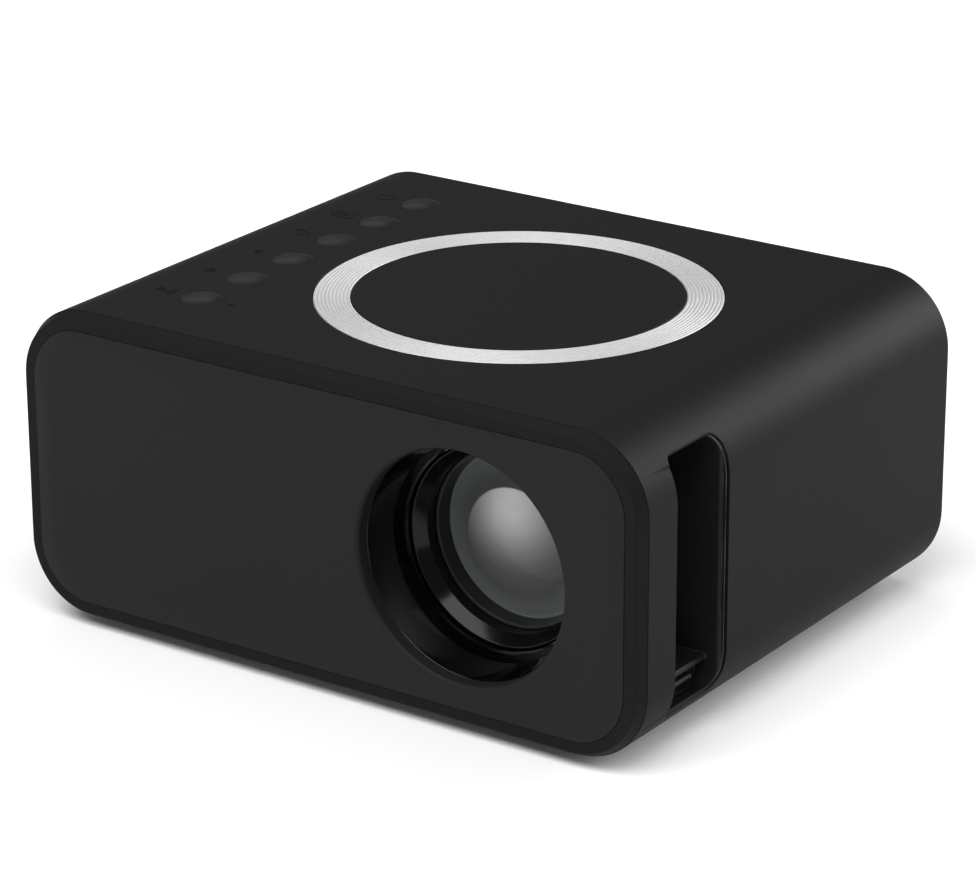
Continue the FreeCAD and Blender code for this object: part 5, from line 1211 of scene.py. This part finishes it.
BEYOND = REAR_OUT - REAR_IN + 1
GRILLE = 17.8
openings = []
for z in vents(9, 3.8, LENS.z):
    reach = math.sqrt(GRILLE ** 2 - (z - LENS.z) ** 2)
    openings.append(slot_hole((LENS.x - reach, z - 1.0), (LENS.x + reach, z + 1.0), rear_side, BEYOND, 0.35))
for socket in ("hdmi_socket", "usb_socket", "power_socket"):
    openings.append(socket_hole(socket, 0.35, 0.8, 0.25))
audio = middle("audio_socket")
openings.append(round_hole(audio.x, audio.z, 2.65, rear_side, BEYOND, 0.25))
REAR_ACROSS, REAR_UP, FAN_PITCH = 110.2, HEIGHT - 25.6, 32.0
rear_heads = four_places(0, HEIGHT / 2, REAR_ACROSS, REAR_UP)
fan_heads = four_places(LENS.x, LENS.z, FAN_PITCH, FAN_PITCH)
for spot in rear_heads + fan_heads:
    openings.append(round_hole(*spot, HEAD_HOLE, rear_side, HEAD_SUNK, 0.2))
combine(rear_face, merged(*openings))
register(rear_face, rear_black, "case", ["rear_panel"])

# %% [markdown]
# ## Screws, feet and the tripod bush
#
# One pan-head screw is drawn with its cross recess, and its copies go to the four corners of a rectangle. The
# feet follow the same rule. The tripod bush gets a real thread: its bore is a lathe surface whose
# radius rises and falls along a helix, one crest every 1.27 mm.

# %% Screws
def pan_head(length):
    """A screw with its head's top at the origin and its shank along -Z."""
    profile = [(0, 0), (0.9, -0.03), (1.5, -0.14), (1.9, -0.38), (2.08, -0.75), (2.1, -1.25), (1.1, -1.3),
               (1.1, -length - 1.0), (0.7, -length - 1.3), (0, -length - 1.3)]
    made = as_object("screw", turned(profile, Vector((0, 0, 0)), axis="Z", segments=40, closed=False))
    for wide, tall in ((1.25, 0.3), (0.3, 1.25)):
        outline = [(-wide, -tall), (wide, -tall), (wide, tall), (-wide, tall)]
        above = [Vector((x, y, 0.3)) for x, y in outline]
        sunk = [Vector((0.8 * x, 0.8 * y, -0.7)) for x, y in outline]
        combine(made, loft(bmesh.new(), [above, sunk], caps=True))
    break_edges(made, 0.05, 50)
    return made


def screws(name, node_name, length, across, along, centre, turn):
    """Four screws at the corners of a rectangle."""
    made = pan_head(length)
    made.name = name
    repeat(made, corners, {
        "Across": across, "Along": along, "Centre": Vector(centre), "Turn": turn, "Finish": screw_metal,
    })
    register(made, screw_metal, "case", [node_name])


DOWN, BACKWARDS = (math.pi, 0, 0), (-math.pi / 2, 0, 0)
SUNK = 0.02
screws("screws_base", "base_screws", 4.2, BASE_ACROSS, BASE_ALONG, (0, MIDDLE_Y, SUNK), DOWN)
screws("screws_rear", "rear_screws", 8.0, REAR_ACROSS, REAR_UP, (0, REAR_OUT - SUNK, HEIGHT / 2), BACKWARDS)
screws("screws_fan", "fan_screws", 9.0, FAN_PITCH, FAN_PITCH, (LENS.x, REAR_OUT - SUNK, LENS.z), BACKWARDS)

# %% Feet
foot = turned(rounded([
    (0, -1.5), (4.4, -1.5, 0.5), (5.0, 0.0, 0.1), (0, 0.0),
], 0)[:-1] + [(0, 0.0)], Vector((0, 0, 0)), axis="Z", segments=72, closed=False)
feet = as_object("soft_feet", foot)
FEET_ACROSS, FEET_ALONG = 80.0, 66.0
under_middle = Vector((0, MIDDLE_Y, 0))
repeat(feet, corners, {"Across": FEET_ACROSS, "Along": FEET_ALONG, "Centre": under_middle, "Finish": rubber})
register(feet, rubber, "case", ["rubber_feet"])

# %% Tripod bush
PITCH, TURNS, THREAD, BORE, BORE_DEPTH = 1.27, 72, 0.36, 2.62, 6.0


def thread_radius(z, turn):
    """The bore's radius on a helix, with flat crests."""
    phase = (z / PITCH - turn / (2 * math.pi)) % 1.0
    wave = 1 - abs(2 * phase - 1)
    fade = min(1.0, z / 0.8, (BORE_DEPTH - z) / 0.8)
    return BORE + THREAD * max(min(wave * 1.4 - 0.2, 1), 0) * max(fade, 0)


def ring_of_points(z, radius_at):
    """Points round the bush's axis, whose distance may change on the way round."""
    loop = []
    for index in range(TURNS):
        turn = 2 * math.pi * index / TURNS
        radius = radius_at(turn)
        loop.append(Vector((radius * math.cos(turn), MIDDLE_Y + radius * math.sin(turn), z)))
    return loop


outside = [
    (0, 6.8), (5.0, 6.8), (5.0, 5.0), (6.6, 5.0), (6.6, 3.8), (5.0, 3.8),
    (5.0, 0.25), (4.8, 0.05), (3.0, 0.05),
]
bush_loops = [ring_of_points(z, lambda turn, radius=radius: radius) for radius, z in outside]
for step in range(61):
    z = 0.3 + 5.7 * step / 60
    bush_loops.append(ring_of_points(z, lambda turn, z=z: thread_radius(z, turn)))
bush_loops.append([Vector((0, MIDDLE_Y, BORE_DEPTH))] * TURNS)
piece("thread_bush", loft(bmesh.new(), bush_loops), brass, "case", ["tripod_bush"])

# %% [markdown]
# ## The fan
#
# Seven vanes stand round the hub. A vane is a thin cambered section that follows the hub's cylinder
# at every radius, so its tip stays the same distance from the frame all along.

# %% Fan vanes and hub
low, high = case_box("fan_rotor")
FAN_FRONT, VANE, VANES, VANE_ROOT, VANE_TIP = low.y, 7.6, 7, 9.0, 18.05


def vane():
    """One vane about the Y axis, from the hub to the tip."""
    loops = []
    for step in range(9):
        radius = VANE_ROOT + (VANE_TIP - VANE_ROOT) * step / 8
        upper, lower = [], []
        for part in range(13):
            share = part / 12
            middle_at = -3.1 + 5.2 * (share + 0.16 * math.sin(math.pi * share))
            thick = 0.85 * math.sin(math.pi * (0.12 + 0.76 * share)) * (1.1 - 0.35 * step / 8)
            behind = FAN_FRONT + 0.15 + (VANE - 0.3) * share
            for side, row in ((thick / 2, upper), (-thick / 2, lower)):
                across = middle_at + side
                row.append(Vector((across, behind, math.sqrt(radius ** 2 - across ** 2))))
        loops.append(upper + lower[::-1])
    return loft(bmesh.new(), loops, caps=True)


fan_vanes = as_object("fan_vanes", vane())
repeat(fan_vanes, around, {"Count": VANES, "Centre": Vector((LENS.x, 0, LENS.z)), "Finish": fan_black})
register(fan_vanes, fan_black, "fan_blades", sharp=60)
hub = turned(rounded([
    (0, FAN_FRONT), (9.5, FAN_FRONT, 0.8), (9.5, FAN_FRONT + VANE, 0.2), (8.3, FAN_FRONT + VANE, 0.1),
    (8.3, FAN_FRONT + 1.2, 0.2), (1.0, FAN_FRONT + 1.2, 0.1), (1.0, high.y, 0.1), (0, high.y),
], 0), LENS, segments=96, closed=False)
piece("fan_hub", hub, fan_black, "fan_blades", ["fan_rotor"])

# %% [markdown]
# ## Finishes for the parts inside
#
# The boards, sockets, light engine and inner lenses keep their CAD shapes. They only get their
# finishes, slot by slot.

# %% Dress the CAD parts
INSIDE = {
    "lens_holder": recess_gloss, "rear_lens_ring": barrel_gloss, "rear_lens": clear_glass,
    "condenser_lens": clear_glass, "front_fresnel": fresnel, "rear_fresnel": fresnel, "lcd_panel": display,
    "chassis_tray": tray_black, "engine_housing": tray_black, "condenser_holder": tray_black,
    "main_board": green_board, "button_board": green_board, "led_module": white_board,
    "tact_switches": switch_black, "main_chip": switch_black, "capacitors": switch_black,
    "hdmi_socket": socket_steel, "usb_socket": socket_steel, "power_socket": socket_steel,
    "audio_socket": socket_black, "heat_sink": sink_metal, "chip_cooler": sink_metal,
    "fan_frame": fan_black, "speaker": speaker_black, "key_ribbon": ribbon_film,
    "board_screws": screw_metal, "button_board_screws": screw_metal, "holder_screws": screw_metal,
}
for name, material in INSIDE.items():
    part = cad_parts[name]
    for material_slot in part.material_slots:
        material_slot.link = "OBJECT"
        material_slot.material = material
print("dressed", len(INSIDE), "parts inside")

# %% [markdown]
# ## Studio
#
# The object stands on a pale floor under large soft lamps. The floor is so pale that it
# reads as a white background. The world is pale where the camera sees it, but it lights the object
# only dimly, so the black surfaces keep their depth. One lamp behind on the right draws the bright
# line along the rounded top edge.

# %% Floor, world and lamps
floor_mesh = bmesh.new()
bmesh.ops.create_grid(floor_mesh, x_segments=60, y_segments=60, size=3.0)
studio_floor = bpy.data.objects.new("studio_floor", bpy.data.meshes.new("studio_floor"))
floor_mesh.to_mesh(studio_floor.data)
floor_mesh.free()
place_in_scene(studio_floor)
material, tree, shader = blank_material("floor_white")
tone = noise(tree, object_place(tree), 3.0, 2.0)
feed(shader, {
    "Base Color": blend_colour(tone, grey(0.90), grey(0.92)), "Roughness": 0.9, "Specular IOR Level": 0.1,
})
studio_floor.data.materials.append(material)

world = bpy.data.worlds.new("studio")
bpy.context.scene.world = world
world.use_nodes = True
tree = world.node_tree
tree.nodes.clear()
seen = wire(tree, "ShaderNodeLightPath", output="Is Camera Ray")
dim = wire(tree, "ShaderNodeBackground", {"Color": grey(0.18), "Strength": 1.0})
plain = wire(tree, "ShaderNodeBackground", {"Color": grey(0.98), "Strength": 1.0})
mixed = wire(tree, "ShaderNodeMixShader", {0: seen, 1: dim, 2: plain})
node(tree, "ShaderNodeOutputWorld", {"Surface": mixed})


# The middle of the object, to which every lamp is turned.
AIM = Vector((0, 0, 0.025))


def lamp(name, at, power, size):
    """A large soft lamp that looks at the object."""
    data = bpy.data.lights.new(name, "AREA")
    data.shape = "RECTANGLE"
    data.size, data.size_y = size
    data.energy = power
    made = bpy.data.objects.new(name, data)
    made.location = at
    made.rotation_euler = (AIM - Vector(at)).to_track_quat("-Z", "Y").to_euler()
    place_in_scene(made)


lamp("lamp_front", (0.0, -0.85, 1.5), 34.0, (2.0, 1.1))
lamp("lamp_above", (0.0, 0.4, 1.7), 6.5, (2.2, 2.2))
lamp("lamp_left", (-1.1, -1.6, 0.55), 5.0, (1.4, 0.6))
lamp("lamp_right", (1.6, -0.3, 1.1), 3.0, (1.2, 1.2))
lamp("lamp_behind", (0.9, 1.7, 0.66), 42.0, (1.3, 0.9))
lamp("lamp_back_left", (-1.1, 1.0, 1.15), 1.8, (0.8, 0.8))

# %% [markdown]
# ## Camera
#
# The camera stands to the right of the front and above it, with a long lens, so the upright
# edges stay almost parallel.

# %% Camera
camera_data = bpy.data.cameras.new("camera")
camera_data.lens = 147.92
camera_data.sensor_width = 36.0
camera_data.clip_start = 0.01
# Where the camera stands, where it looks, and which way is up in its picture.
STAND = (0.352414, -0.508619, 0.263483)
SIGHT = Vector((-0.53234304, 0.76827296, -0.35548214))
UPRIGHT = Vector((-0.19966644, 0.29412746, 0.93467767))
camera = bpy.data.objects.new("camera", camera_data)
turn = Matrix((SIGHT.cross(UPRIGHT), UPRIGHT, -SIGHT)).transposed().to_4x4()
camera.matrix_world = Matrix.Translation(STAND) @ turn
bpy.context.scene.camera = place_in_scene(camera)
bpy.context.scene.view_settings.view_transform = "Standard"

# %% Finish
bpy.context.view_layer.update()
